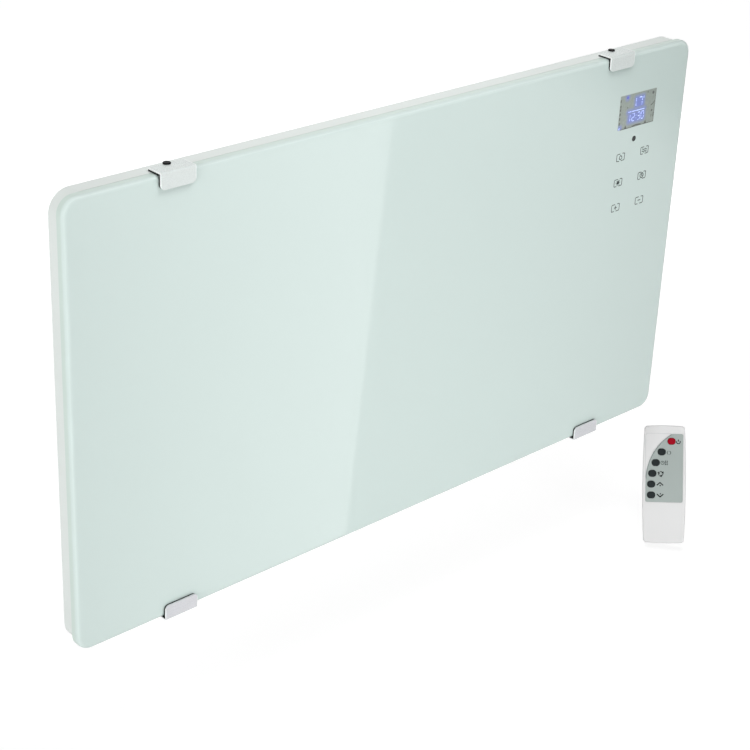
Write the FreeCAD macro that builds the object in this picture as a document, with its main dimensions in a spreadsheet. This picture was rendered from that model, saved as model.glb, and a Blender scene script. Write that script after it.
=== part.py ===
import FreeCAD, Part
import math
import os
import re
import Sketcher

# A wall-hung glass panel heater and its infrared handset, in millimetres.
# The origin lies on the wall, at the centre of the wall rail's screw pattern.
# X points to the right, Y into the wall and Z up.
# "Out" is the distance from the wall into the room, so a point's Y is minus its out.
# The handset has its own out, counted from its own back.

SIZES = {
    # glass front
    "glass_width": 820,
    "glass_height": 449,
    "glass_thick": 9.5,
    "glass_corner": 16,
    "glass_arris": 4.2,
    # rubber seal between the glass and the casing
    "seal_thick": 0.5,
    "seal_width": 4,
    "seal_inset": 2,
    # sheet steel casing behind the glass
    "casing_inset": 2.5,
    "casing_depth": 15.5,
    "casing_wall": 1,
    "casing_lip": 8,
    "casing_corner": 21,
    # heating film bonded to the glass and the board behind it
    "film_thick": 0.6,
    "film_margin": 14,
    "film_strip": 30,
    "film_gap": 34.5,
    "insulation_thick": 12,
    "tab_width": 14,
    "tab_height": 10,
    "tab_thick": 0.8,
    "lead_diameter": 3,
    "lead_pitch": 30,
    "lead_room": 1,
    # clips that hold the glass to the casing
    "clip_inset": 117.6,
    "clip_width": 38,
    "clip_thick": 1.4,
    "clip_lip": 16,
    "clip_lip_round": 4.5,
    "clip_fold": 2,
    "clip_tail": 1.2,
    "pad_thick": 1.6,
    "clip_screw_setback": 4.1,
    "clip_screw_diameter": 3.5,
    "clip_screw_room": 0.2,
    "clip_head_diameter": 7.4,
    "clip_head_height": 1.4,
    "clip_head_round": 0.6,
    "clip_nut_diameter": 5.4,
    "clip_nut_height": 3,
    "clip_screw_spare": 1.2,
    # display and touch keys behind the glass
    "display_inset": 81.5,
    "lcd_drop": 64.8,
    "lcd_width": 66,
    "lcd_height": 44,
    "display_gap": 5,
    "eye_drop": 97.6,
    "eye_width": 7,
    "eye_height": 6,
    "key_drop": 115.6,
    "key_column": 40,
    "key_row": 29.3,
    "key_pad_diameter": 12,
    "board_thick": 1.6,
    "display_board_width": 74,
    "display_board_height": 156,
    "display_board_drop": 112.5,
    "display_post_diameter": 6,
    "display_post_inset": 6,
    "buzzer_diameter": 12,
    "buzzer_height": 6,
    "ribbon_width": 12,
    "ribbon_thick": 1,
    "ribbon_room": 1,
    "ribbon_end": 16,
    "header_width": 16,
    "header_height": 8,
    # control housing on the casing's back
    "wall_gap": 6,
    "housing_depth": 24,
    "housing_width": 340,
    "housing_height": 170,
    "housing_z": -42,
    "housing_wall": 1,
    "housing_corner": 8,
    "housing_flange": 10,
    "vent_count": 9,
    "vent_width": 3.2,
    "vent_height": 56,
    "vent_pitch": 9,
    "vent_shift": -70,
    "screw_diameter": 3.5,
    "screw_room": 0.15,
    "screw_head_diameter": 7,
    "screw_head_height": 2,
    "screw_head_round": 0.7,
    "screw_tip": 1.4,
    # electrics inside the housing
    "power_board_width": 150,
    "power_board_height": 110,
    "power_board_shift": 10,
    "power_board_gap": 5,
    "power_post_diameter": 7,
    "power_post_inset": 7,
    "relay_width": 19,
    "relay_height": 15.5,
    "relay_depth": 14,
    "relay_pitch": 26,
    "supply_width": 46,
    "supply_height": 26,
    "supply_depth": 13.5,
    "capacitor_diameter": 13,
    "capacitor_height": 14.5,
    "block_width": 22,
    "block_margin": 12,
    "block_depth": 15,
    "cutout_diameter": 17,
    "cutout_height": 6,
    "cutout_strap": 30,
    "cutout_strap_thick": 1.2,
    "sensor_diameter": 6,
    "sensor_reach": 11,
    "sensor_collar": 9.5,
    "sensor_collar_thick": 1.5,
    "sensor_tail": 6,
    "sensor_shift": -70,
    # mains switch in the housing's right wall
    "switch_bezel_width": 15,
    "switch_bezel_height": 23,
    "switch_bezel_thick": 2,
    "switch_body_width": 12.8,
    "switch_body_height": 19,
    "switch_body_depth": 12,
    "switch_room": 0.2,
    "switch_wall": 1.2,
    "switch_end_wall": 1.7,
    "switch_well": 7,
    "switch_shift": 20,
    "rocker_room": 0.4,
    "rocker_half_length": 6.6,
    "rocker_rise": 4.6,
    "rocker_dip": 1.4,
    "rocker_foot": 4,
    "rocker_foot_half": 3,
    "rocker_pin": 2.4,
    "rocker_pin_room": 0.05,
    "rocker_pin_bite": 1,
    "rocker_pivot": 1,
    "rocker_tilt": 9,
    # cable gland in the housing's bottom wall
    "gland_thread": 16,
    "gland_room": 0.2,
    "gland_collar": 20,
    "gland_collar_height": 5,
    "gland_cap": 17,
    "gland_cap_height": 10,
    "gland_bore": 9,
    "gland_inside": 8,
    "gland_nut_height": 4,
    "gland_shift": 60,
    # wall rail, hanger rail and spacers
    "rail_rise": 90,
    "rail_length": 360,
    "rail_height": 44,
    "rail_thick": 2,
    "rail_reach": 16,
    "rail_lip": 12,
    "rail_hole_diameter": 6.5,
    "rail_hole_pitch": 300,
    "rail_hole_rise": 24,
    "hanger_length": 300,
    "hanger_height": 46,
    "hanger_room": 2,
    "hanger_hook": 9,
    "rivet_diameter": 4,
    "rivet_head_diameter": 8,
    "rivet_head_height": 1.5,
    "rivet_tail_diameter": 6,
    "rivet_tail_height": 1.2,
    "rivet_pitch": 240,
    "rivet_rise": 22,
    "spacer_diameter": 16,
    "spacer_tip_diameter": 18,
    "spacer_tip_height": 6,
    "spacer_inset_x": 95,
    "spacer_inset_z": 60,
    # handset: where it stands and its shells
    "remote_x": 417,
    "remote_out": 97,
    "remote_drop": 174.6,
    "remote_turn": 50.5,
    "remote_slant": 5.3,
    "remote_lean": 29.1,
    "remote_length": 143.8,
    "remote_width": 52.5,
    "remote_thick": 22,
    "remote_split": 12,
    "remote_wall": 2,
    "remote_back": 3.4,
    "remote_bow": 1.8,
    "remote_end_bow": 1,
    "remote_corner": 4,
    "remote_edge": 1.6,
    "remote_back_edge": 2.4,
    # handset: face plate and buttons
    "plate_width": 44.7,
    "plate_height": 83.3,
    "plate_foot": 49.9,
    "plate_shoulder": 27.1,
    "plate_top": 13.7,
    "plate_thick": 0.8,
    "plate_room": 0.25,
    "plate_round": 2,
    "button_width": 9.4,
    "button_height": 7.9,
    "button_round": 3.7,
    "button_dome": 1,
    "button_room": 0.35,
    "button_rise": 1.4,
    "button_flange": 1,
    "button_flange_thick": 0.8,
    "button_gap": 1,
    "button_left": 15.6,
    "button_foot": 58.5,
    "button_pitch": 13.16,
    "button_arc": 69.8,
    # handset: inside
    "key_sheet_thick": 1,
    "remote_board_width": 40,
    "remote_board_margin": 6,
    "boss_diameter": 5,
    "boss_inset": 4,
    "led_diameter": 5,
    "led_room": 0.1,
    "led_dome": 2.2,
    "cell_diameter": 10.5,
    "cell_length": 44.5,
    "cell_foot": 16,
    "cell_gap": 1.5,
    "cell_room": 0.4,
    "contact_thick": 0.6,
    "contact_width": 8,
    "rib_thick": 1.4,
    "door_ledge": 4,
    "door_thick": 1.5,
    "door_seat": 0.5,
    "door_room": 0.6,
    "door_round": 1,
}

# Heights and outs that several pieces share.
PANEL = "-rail_rise"
CASING_BACK = "(wall_gap + housing_depth)"
CASING_INSIDE = f"({CASING_BACK} + casing_wall)"
CASING_FRONT = f"({CASING_BACK} + casing_depth)"
GLASS_BACK = f"({CASING_FRONT} + seal_thick)"
GLASS_FRONT = f"({GLASS_BACK} + glass_thick)"
CASING_WIDTH = "(glass_width - 2 * casing_inset)"
GLASS_TOP = "(glass_height / 2)"
DISPLAY_X = "(glass_width / 2 - display_inset)"
FILM_RIGHT = f"({DISPLAY_X} - display_board_width / 2 - film_gap)"
HOUSING_RIGHT = f"({FILM_RIGHT} + housing_wall + block_margin)"
HOUSING_X = f"({HOUSING_RIGHT} - housing_width / 2)"
HOUSING_FOOT = "(housing_z - housing_height / 2)"
HOUSING_MIDDLE = "(wall_gap + housing_depth / 2)"
CLIP_X = "(glass_width / 2 - clip_inset)"
CLIP_SCREW_OUT = f"({CASING_FRONT} - clip_screw_setback)"
DISPLAY_BOARD_FRONT = f"({GLASS_BACK} - display_gap)"
DISPLAY_BOARD_BACK = f"({DISPLAY_BOARD_FRONT} - board_thick)"
DISPLAY_BOARD_Z = f"({GLASS_TOP} - display_board_drop)"
FILM_LEFT = f"(-{CASING_WIDTH} / 2 + casing_lip + film_margin)"
FILM_HEIGHT = "(glass_height - 2 * casing_lip - 2 * film_margin)"
FILM_BACK = f"({GLASS_BACK} - film_thick)"
LEAD_X = f"({FILM_RIGHT} - film_strip / 2)"
LEAD_Z = "housing_z"
POWER_BOARD_FRONT = f"({CASING_BACK} - power_board_gap)"
POWER_BOARD_BACK = f"({POWER_BOARD_FRONT} - board_thick)"
POWER_BOARD_X = f"({HOUSING_X} - power_board_shift)"
RIBBON_Z = f"({LEAD_Z} + lead_pitch / 2 + ribbon_width)"
RIBBON_END_X = f"({POWER_BOARD_X} + power_board_width / 2 - ribbon_end)"
CUTOUT_X = f"({HOUSING_RIGHT} - housing_width + cutout_strap)"
HOOK_Z = "(rail_height / 2 + rail_lip)"
SPACER_X = f"({CASING_WIDTH} / 2 - spacer_inset_x)"
SPACER_Z = "(spacer_inset_z - glass_height / 2)"
PLATE_Z = "(plate_foot + plate_height / 2)"
SHELL_INSIDE = "(remote_thick - remote_wall)"
KEY_SHEET_FRONT = f"({SHELL_INSIDE} - button_flange_thick - button_gap)"
REMOTE_BOARD_FRONT = f"({KEY_SHEET_FRONT} - key_sheet_thick)"
REMOTE_BOARD_BACK = f"({REMOTE_BOARD_FRONT} - board_thick)"
REMOTE_BOARD_HEIGHT = "(plate_height - remote_board_margin)"
CELL_X = "(cell_diameter / 2 + cell_gap / 2)"
CELL_OUT = "(remote_back + cell_room + cell_diameter / 2)"
CELL_Z = "(cell_foot + cell_length / 2)"
BAY_HEIGHT = "(cell_length + 2 * contact_thick)"
BAY_WIDTH = "(2 * cell_diameter + cell_gap + 2 * cell_room)"

BUTTONS = ("down", "up", "cycle", "program", "mode", "power")

doc = FreeCAD.newDocument("glass_panel_heater")
sheet = doc.addObject("Spreadsheet::Sheet", "dims")
for row, (name, size) in enumerate(SIZES.items(), start=1):
    sheet.set(f"A{row}", name)
    sheet.set(f"B{row}", str(size))
    sheet.setAlias(f"B{row}", name)
doc.recompute()

nodes = []


def formula(words):
    """The same formula with each size's name pointing at its cell."""
    return re.sub(r"[a-z_]+\d*", lambda word: f"dims.{word[0]}" if word[0] in SIZES else word[0], words)


def value(words):
    return float(sheet.evalExpression(formula(words)))


def bind(thing, prop, words):
    thing.setExpression(prop, formula(words))


def new_body(label, rise=PANEL):
    """An empty sub-part whose own frame is the row's frame raised to the panel's centre."""
    body = doc.addObject("PartDesign::Body", label)
    body.Label = label
    bind(body, "Placement.Base.z", rise)
    nodes.append(body)
    return body


def remote_body(label):
    """An empty sub-part in the handset's own frame: X across, Z along it, origin at its back's foot."""
    body = doc.addObject("PartDesign::Body", label)
    body.Label = label
    pose = FreeCAD.Rotation(value("-remote_turn"), value("-remote_slant"), value("-remote_lean"))
    body.Placement = FreeCAD.Placement(FreeCAD.Vector(), pose)
    bind(body, "Placement.Base.x", "remote_x")
    bind(body, "Placement.Base.y", "-remote_out")
    bind(body, "Placement.Base.z", f"{PANEL} - {GLASS_TOP} - pad_thick - clip_thick - remote_drop")
    nodes.append(body)
    return body


def sketch_on(body, role, across="0", up="0", off="0"):
    """A sketch on one of the body's own planes. On XZ_Plane, off is the out; on YZ_Plane, it is X."""
    plane = next(feature for feature in body.Origin.OriginFeatures if feature.Role == role)
    sketch = body.newObject("Sketcher::SketchObject", f"{body.Name}_sketch")
    sketch.AttachmentSupport = (plane, [""])
    sketch.MapMode = "FlatFace"
    bind(sketch, "AttachmentOffset.Base.x", across)
    bind(sketch, "AttachmentOffset.Base.y", up)
    bind(sketch, "AttachmentOffset.Base.z", off)
    return sketch


def pin_point(sketch, geometry, corner, across, up):
    """Fixes a point of the sketch at two formulas from the sketch's origin."""
    for kind, words, axis in (("DistanceX", across, -2), ("DistanceY", up, -1)):
        if words == "0":
            sketch.addConstraint(Sketcher.Constraint("PointOnObject", geometry, corner, axis))
        else:
            index = sketch.addConstraint(Sketcher.Constraint(kind, -1, 1, geometry, corner, value(words)))
            bind(sketch, f"Constraints[{index}]", words)


def size_geometry(sketch, kind, geometry, words):
    index = sketch.addConstraint(Sketcher.Constraint(kind, geometry, value(words)))
    bind(sketch, f"Constraints[{index}]", words)


def outline(sketch, points):
    """A closed outline of straight lines through points given as pairs of formulas."""
    first = sketch.GeometryCount
    corners = [FreeCAD.Vector(value(across), value(up), 0) for across, up in points]
    count = len(points)
    for i in range(count):
        sketch.addGeometry(Part.LineSegment(corners[i], corners[(i + 1) % count]))
    for i in range(count):
        sketch.addConstraint(Sketcher.Constraint("Coincident", first + i, 2, first + (i + 1) % count, 1))
        pin_point(sketch, first + i, 1, *points[i])


def rectangle(sketch, width, height, across="0", up="0"):
    left, right = f"{across} - {width} / 2", f"{across} + {width} / 2"
    low, high = f"{up} - {height} / 2", f"{up} + {height} / 2"
    outline(sketch, [(left, low), (right, low), (right, high), (left, high)])


def rounded_rectangle(sketch, width, height, radius):
    """A rectangle about the sketch's origin, with four equal round corners."""
    half_x, half_y, round_off = value(width) / 2, value(height) / 2, value(radius)
    first = sketch.GeometryCount
    for quarter in range(4):
        angle = quarter * math.pi / 2
        turn = FreeCAD.Rotation(FreeCAD.Vector(0, 0, 1), 90 * quarter)
        reach_x, reach_y = (half_x, half_y) if quarter % 2 == 0 else (half_y, half_x)
        start = turn.multVec(FreeCAD.Vector(round_off - reach_x, -reach_y, 0))
        end = turn.multVec(FreeCAD.Vector(reach_x - round_off, -reach_y, 0))
        centre = turn.multVec(FreeCAD.Vector(reach_x - round_off, round_off - reach_y, 0))
        sketch.addGeometry(Part.LineSegment(start, end))
        circle = Part.Circle(centre, FreeCAD.Vector(0, 0, 1), round_off)
        sketch.addGeometry(Part.ArcOfCircle(circle, angle - math.pi / 2, angle))
    for i in range(8):
        sketch.addConstraint(Sketcher.Constraint("Tangent", first + i, 2, first + (i + 1) % 8, 1))
    for i, kind in enumerate(("Horizontal", "Vertical", "Horizontal", "Vertical")):
        sketch.addConstraint(Sketcher.Constraint(kind, first + 2 * i))
    for i in (1, 3, 5):
        sketch.addConstraint(Sketcher.Constraint("Equal", first + i, first + i + 2))
    sketch.addConstraint(Sketcher.Constraint("Symmetric", first + 7, 3, first + 3, 3, -1, 1))
    size_geometry(sketch, "Radius", first + 1, radius)
    for kind, low, high, words in (("DistanceX", 6, 2, width), ("DistanceY", 0, 4, height)):
        index = sketch.addConstraint(
            Sketcher.Constraint(kind, first + low, 1, first + high, 1, value(words)))
        bind(sketch, f"Constraints[{index}]", words)


def circles(sketch, diameter, centres):
    for across, up in centres:
        centre = FreeCAD.Vector(value(across), value(up), 0)
        index = sketch.addGeometry(Part.Circle(centre, FreeCAD.Vector(0, 0, 1), value(diameter) / 2))
        size_geometry(sketch, "Diameter", index, diameter)
        pin_point(sketch, index, 3, across, up)


def arc_between(sketch, start, end, radius):
    """An arc that bulges to the right of the way from start to end."""
    a, b = (FreeCAD.Vector(value(across), value(up), 0) for across, up in (start, end))
    chord = b - a
    normal = FreeCAD.Vector(-chord.y, chord.x, 0).normalize()
    centre = (a + b) * 0.5 + normal * math.sqrt(value(radius) ** 2 - chord.Length ** 2 / 4)
    angles = [math.atan2(point.y - centre.y, point.x - centre.x) for point in (a, b)]
    circle = Part.Circle(centre, FreeCAD.Vector(0, 0, 1), value(radius))
    index = sketch.addGeometry(Part.ArcOfCircle(circle, *angles))
    size_geometry(sketch, "Radius", index, radius)
    return index


def bowed_outline(sketch, width, length, bow, end_bow):
    """A rectangle about the sketch's origin whose four sides bulge out to the full width and length."""
    half_x, half_y = f"({width} / 2 - {bow})", f"({length} / 2 - {end_bow})"
    corners = [(f"-{half_x}", f"-{half_y}"), (half_x, f"-{half_y}"), (half_x, half_y), (f"-{half_x}", half_y)]
    for i in range(4):
        half, sag = (half_x, end_bow) if i % 2 == 0 else (half_y, bow)
        arc_between(sketch, corners[i], corners[(i + 1) % 4], f"({half} ^ 2 + {sag} ^ 2) / (2 * {sag})")
    for i in range(4):
        sketch.addConstraint(Sketcher.Constraint("Coincident", i, 2, (i + 1) % 4, 1))
        pin_point(sketch, i, 1, *corners[i])


def pad(body, sketch, length, back=False, centred=False):
    feature = body.newObject("PartDesign::Pad", f"{body.Name}_pad")
    feature.Profile = sketch
    feature.Reversed = back
    if centred:
        feature.SideType = "Symmetric"
    bind(feature, "Length", length)
    doc.recompute()
    return feature


def pocket(body, sketch, depth=None, back=False):
    """Cuts against the sketch's normal, or along it if back is set; with no depth, right through both ways."""
    before = body.Shape.Volume
    feature = body.newObject("PartDesign::Pocket", f"{body.Name}_pocket")
    feature.Profile = sketch
    feature.Reversed = back
    if depth is None:
        feature.Type = "ThroughAll"
        feature.SideType = "Symmetric"
    else:
        bind(feature, "Length", depth)
    doc.recompute()
    if not body.Shape.Volume < before:
        raise ValueError(f"{feature.Name} cuts nothing")
    return feature


def fillet(body, feature, edges, radius):
    rounded = body.newObject("PartDesign::Fillet", f"{body.Name}_fillet")
    rounded.Base = (feature, edges)
    bind(rounded, "Radius", radius)
    doc.recompute()
    return rounded


def edges_on_plane(feature, axis, words):
    """Names of the feature's edges that lie on the plane across an axis (0, 1 or 2) at a formula."""
    level = value(words)
    names = []
    for i, edge in enumerate(feature.Shape.Edges, start=1):
        box = edge.BoundBox
        low = (box.XMin, box.YMin, box.ZMin)[axis]
        high = (box.XMax, box.YMax, box.ZMax)[axis]
        if abs(low - level) < 1e-4 and abs(high - level) < 1e-4:
            names.append(f"Edge{i}")
    return names


def edges_along(feature, axis):
    """Names of the feature's straight edges along an axis."""
    names = []
    for i, edge in enumerate(feature.Shape.Edges, start=1):
        sides = [edge.BoundBox.XLength, edge.BoundBox.YLength, edge.BoundBox.ZLength]
        if sides.pop(axis) > 1e-4 and max(sides) < 1e-4:
            names.append(f"Edge{i}")
    return names


def both(first, second):
    return [name for name in first if name in second]


def corners_of(x, z):
    return [(f"{a}{x}", f"{b}{z}") for a in ("-", "") for b in ("-", "")]


def plate(label, width, height, thick, out, across="0", up="0", radius=None):
    """A flat sheet or block that stands parallel to the wall, its back at out."""
    body = new_body(label)
    sketch = sketch_on(body, "XZ_Plane", across, up, out)
    if radius:
        rounded_rectangle(sketch, width, height, radius)
    else:
        rectangle(sketch, width, height)
    pad(body, sketch, thick)
    return body


def posts(label, diameter, length, out, centres):
    """Round posts that stand out from the wall's side, all one length."""
    body = new_body(label)
    sketch = sketch_on(body, "XZ_Plane", off=out)
    circles(sketch, diameter, centres)
    pad(body, sketch, length)
    return body


# Glass, seal, film and insulation

def glass_panel():
    body = new_body("glass_panel")
    sketch = sketch_on(body, "XZ_Plane", off=GLASS_BACK)
    rounded_rectangle(sketch, "glass_width", "glass_height", "glass_corner")
    slab = pad(body, sketch, "glass_thick")
    fillet(body, slab, edges_on_plane(slab, 1, f"-{GLASS_FRONT}"), "glass_arris")


def glass_seal():
    body = new_body("glass_seal")
    sketch = sketch_on(body, "XZ_Plane", off=CASING_FRONT)
    rounded_rectangle(sketch, f"{CASING_WIDTH} - 2 * seal_inset", "glass_height - 2 * seal_inset",
                      "casing_corner - seal_inset")
    inner = "2 * seal_inset - 2 * seal_width"
    rounded_rectangle(sketch, f"{CASING_WIDTH} - {inner}", f"glass_height - {inner}",
                      "casing_corner - seal_inset - seal_width")
    pad(body, sketch, "seal_thick")


def heating_film():
    plate("heating_film", f"({FILM_RIGHT} - {FILM_LEFT})", FILM_HEIGHT, "film_thick", FILM_BACK,
          across=f"({FILM_RIGHT} + {FILM_LEFT}) / 2")
    tabs = new_body("film_terminals")
    sketch = sketch_on(tabs, "XZ_Plane", off=f"{FILM_BACK} - tab_thick")
    for side in ("-", "+"):
        rectangle(sketch, "tab_width", "tab_height", LEAD_X, f"{LEAD_Z} {side} lead_pitch / 2")
    pad(tabs, sketch, "tab_thick")


def insulation_board():
    right = f"({FILM_RIGHT} - film_strip)"
    plate("insulation_board", f"({right} - {FILM_LEFT})", FILM_HEIGHT, "insulation_thick",
          f"{FILM_BACK} - insulation_thick", across=f"({right} + {FILM_LEFT}) / 2")


def lead_centres():
    return [(LEAD_X, f"{LEAD_Z} {side} lead_pitch / 2") for side in ("-", "+")]


# Casing

def rivet_centres():
    rise = "(rail_rise - hanger_height / 2 + rail_height / 2 + rail_lip + rail_thick)"
    return [(f"{a}rivet_pitch / 2", f"{rise} {b} rivet_rise / 2") for a in ("-", "") for b in ("-", "+")]


def housing_screw_centres():
    across = "(housing_width / 2 + housing_flange / 2)"
    along = "(housing_height / 2 + housing_flange / 2)"
    centres = [(f"{HOUSING_X} {a} {across}", f"housing_z {b} {along}") for a in "-+" for b in "-+"]
    return centres + [(HOUSING_X, f"housing_z {b} {along}") for b in "-+"]


def casing_tray():
    body = new_body("casing_tray")
    sketch = sketch_on(body, "XZ_Plane", off=CASING_BACK)
    rounded_rectangle(sketch, CASING_WIDTH, "glass_height", "casing_corner")
    pad(body, sketch, "casing_depth")
    mouth = sketch_on(body, "XZ_Plane", off=CASING_FRONT)
    rounded_rectangle(mouth, f"{CASING_WIDTH} - 2 * casing_lip", "glass_height - 2 * casing_lip",
                      "casing_corner - casing_lip")
    pocket(body, mouth, "casing_depth - casing_wall")
    hollow = sketch_on(body, "XZ_Plane", off=f"{CASING_FRONT} - casing_wall")
    rounded_rectangle(hollow, f"{CASING_WIDTH} - 2 * casing_wall", "glass_height - 2 * casing_wall",
                      "casing_corner - casing_wall")
    pocket(body, hollow, "casing_depth - 2 * casing_wall")
    holes = sketch_on(body, "XZ_Plane", off=CASING_INSIDE)
    circles(holes, "rivet_diameter + 2 * screw_room", rivet_centres())
    circles(holes, "screw_diameter + 2 * screw_room", housing_screw_centres())
    circles(holes, "lead_diameter + 2 * lead_room", lead_centres())
    rectangle(holes, "(ribbon_thick + 2 * ribbon_room)", "(ribbon_width + 2 * ribbon_room)",
              RIBBON_END_X, RIBBON_Z)
    pocket(body, holes, "casing_wall")
    clip_holes = sketch_on(body, "XY_Plane")
    circles(clip_holes, "clip_screw_diameter + 2 * clip_screw_room",
            [(f"{a}{CLIP_X}", f"-{CLIP_SCREW_OUT}") for a in ("-", "")])
    pocket(body, clip_holes)


# Clips with their pads, screws and nuts

def clip_reach():
    return f"({GLASS_FRONT} - {CLIP_SCREW_OUT} + clip_tail)"


def angle_points(inner, thick, lip, rise):
    """An angle round the glass's edge: inner is its gap to the glass, rise + for the top edge, - for the bottom."""
    front, back = f"-{GLASS_FRONT} - {inner}", f"-{GLASS_FRONT} + {clip_reach()}"
    near, far = f"{rise}({GLASS_TOP} + {inner})", f"{rise}({GLASS_TOP} + {inner} + {thick})"
    foot = f"{rise}({GLASS_TOP} + pad_thick + clip_thick - {lip})"
    edge = f"{front} - {thick}"
    return [(edge, foot), (front, foot), (front, near), (back, near), (back, far), (edge, far)]


def screw_slots(body, sides):
    """Round-ended slots for the clip screws, open at the plates' back edge."""
    width = "(clip_screw_diameter + 2 * clip_screw_room)"
    ends = sketch_on(body, "XY_Plane")
    circles(ends, width, [(f"{side}{CLIP_X}", f"-{CLIP_SCREW_OUT}") for side in sides])
    pocket(body, ends)
    mouths = sketch_on(body, "XY_Plane")
    for side in sides:
        rectangle(mouths, width, "(2 * clip_tail)", f"{side}{CLIP_X}", f"(clip_tail - {CLIP_SCREW_OUT})")
    pocket(body, mouths)


def clip(label, side, rise):
    body = new_body(label)
    sketch = sketch_on(body, "YZ_Plane", off=f"{side}{CLIP_X}")
    outline(sketch, angle_points("pad_thick", "clip_thick", "clip_lip", rise))
    feature = pad(body, sketch, "clip_width", centred=True)
    lip_edges = both(edges_along(feature, 1), edges_on_plane(
        feature, 2, f"{rise}({GLASS_TOP} + pad_thick + clip_thick - clip_lip)"))
    feature = fillet(body, feature, lip_edges, "clip_lip_round")
    fold = both(edges_along(feature, 0), both(
        edges_on_plane(feature, 1, f"-{GLASS_FRONT} - pad_thick - clip_thick"),
        edges_on_plane(feature, 2, f"{rise}({GLASS_TOP} + pad_thick + clip_thick)")))
    fillet(body, feature, fold, "clip_fold")
    screw_slots(body, [side])


def clip_pads():
    body = new_body("clip_pads")
    for side in ("-", ""):
        for rise in ("-", ""):
            sketch = sketch_on(body, "YZ_Plane", off=f"{side}{CLIP_X}")
            outline(sketch, angle_points("0", "pad_thick", "(clip_lip - clip_lip_round)", rise))
            pad(body, sketch, "clip_width", centred=True)
    screw_slots(body, ["-", ""])


def clip_screw_centres():
    return [(f"{side}{CLIP_X}", f"-{CLIP_SCREW_OUT}") for side in ("-", "")]


def clip_screws():
    body = new_body("clip_screws")
    seat = f"({GLASS_TOP} + pad_thick + clip_thick)"
    grip = "(clip_thick + pad_thick + casing_wall + clip_nut_height + clip_screw_spare)"
    feature = None
    for rise in ("-", ""):
        shank = sketch_on(body, "XY_Plane", off=f"{rise}{seat}")
        circles(shank, "clip_screw_diameter", clip_screw_centres())
        pad(body, shank, grip, back=rise == "")
        head = sketch_on(body, "XY_Plane", off=f"{rise}{seat}")
        circles(head, "clip_head_diameter", clip_screw_centres())
        feature = pad(body, head, "clip_head_height", back=rise == "-")
    rims = [edges_on_plane(feature, 2, f"{rise}({seat} + clip_head_height)") for rise in ("-", "")]
    fillet(body, feature, rims[0] + rims[1], "clip_head_round")


def clip_nuts():
    body = new_body("clip_nuts")
    for rise in ("-", ""):
        sketch = sketch_on(body, "XY_Plane", off=f"{rise}({GLASS_TOP} - casing_wall)")
        circles(sketch, "clip_nut_diameter", clip_screw_centres())
        circles(sketch, "clip_screw_diameter + 2 * clip_screw_room", clip_screw_centres())
        pad(body, sketch, "clip_nut_height", back=rise == "")


# Display and touch keys

def key_centres():
    first = f"({GLASS_TOP} - key_drop)"
    return [(f"{DISPLAY_X} {side} key_column / 2", f"{first} - {row} * key_row")
            for row in range(3) for side in ("-", "+")]


def display_parts():
    plate("lcd_module", "lcd_width", "lcd_height", "display_gap", DISPLAY_BOARD_FRONT,
          across=DISPLAY_X, up=f"{GLASS_TOP} - lcd_drop")
    plate("display_board", "display_board_width", "display_board_height", "board_thick", DISPLAY_BOARD_BACK,
          across=DISPLAY_X, up=DISPLAY_BOARD_Z)
    plate("ir_receiver", "eye_width", "eye_height", "display_gap", DISPLAY_BOARD_FRONT,
          across=DISPLAY_X, up=f"{GLASS_TOP} - eye_drop")
    posts("touch_pads", "key_pad_diameter", "display_gap", DISPLAY_BOARD_FRONT, key_centres())
    across = "(display_board_width / 2 - display_post_inset)"
    along = "(display_board_height / 2 - display_post_inset)"
    posts("display_standoffs", "display_post_diameter", f"{DISPLAY_BOARD_BACK} - {CASING_INSIDE}", CASING_INSIDE,
          [(f"{DISPLAY_X} {a} {across}", f"{DISPLAY_BOARD_Z} {b} {along}") for a in "-+" for b in "-+"])
    posts("buzzer", "buzzer_diameter", "buzzer_height", f"{DISPLAY_BOARD_BACK} - buzzer_height",
          [(DISPLAY_X, DISPLAY_BOARD_Z)])


def display_ribbon():
    """Flat cable on the casing's floor, from a header on the display board through a slot to the power board."""
    body = new_body("display_ribbon")
    flat = sketch_on(body, "XZ_Plane", off=CASING_INSIDE)
    half = "ribbon_width / 2"
    end = f"{RIBBON_END_X} - ribbon_thick / 2"
    top = f"{DISPLAY_BOARD_Z} - display_board_height / 2 + header_height"
    outline(flat, [(end, f"{RIBBON_Z} - {half}"), (f"{DISPLAY_X} + {half}", f"{RIBBON_Z} - {half}"),
                   (f"{DISPLAY_X} + {half}", top), (f"{DISPLAY_X} - {half}", top),
                   (f"{DISPLAY_X} - {half}", f"{RIBBON_Z} + {half}"), (end, f"{RIBBON_Z} + {half}")])
    pad(body, flat, "ribbon_thick")
    header = sketch_on(body, "XZ_Plane", off=CASING_INSIDE)
    rectangle(header, "header_width", "header_height", DISPLAY_X, f"{top} - header_height / 2")
    pad(body, header, f"{DISPLAY_BOARD_BACK} - {CASING_INSIDE}")
    tail = sketch_on(body, "XZ_Plane", off=POWER_BOARD_FRONT)
    rectangle(tail, "ribbon_thick", "ribbon_width", RIBBON_END_X, RIBBON_Z)
    pad(body, tail, f"{CASING_INSIDE} - {POWER_BOARD_FRONT}")


# Control housing and the electrics in it

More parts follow.
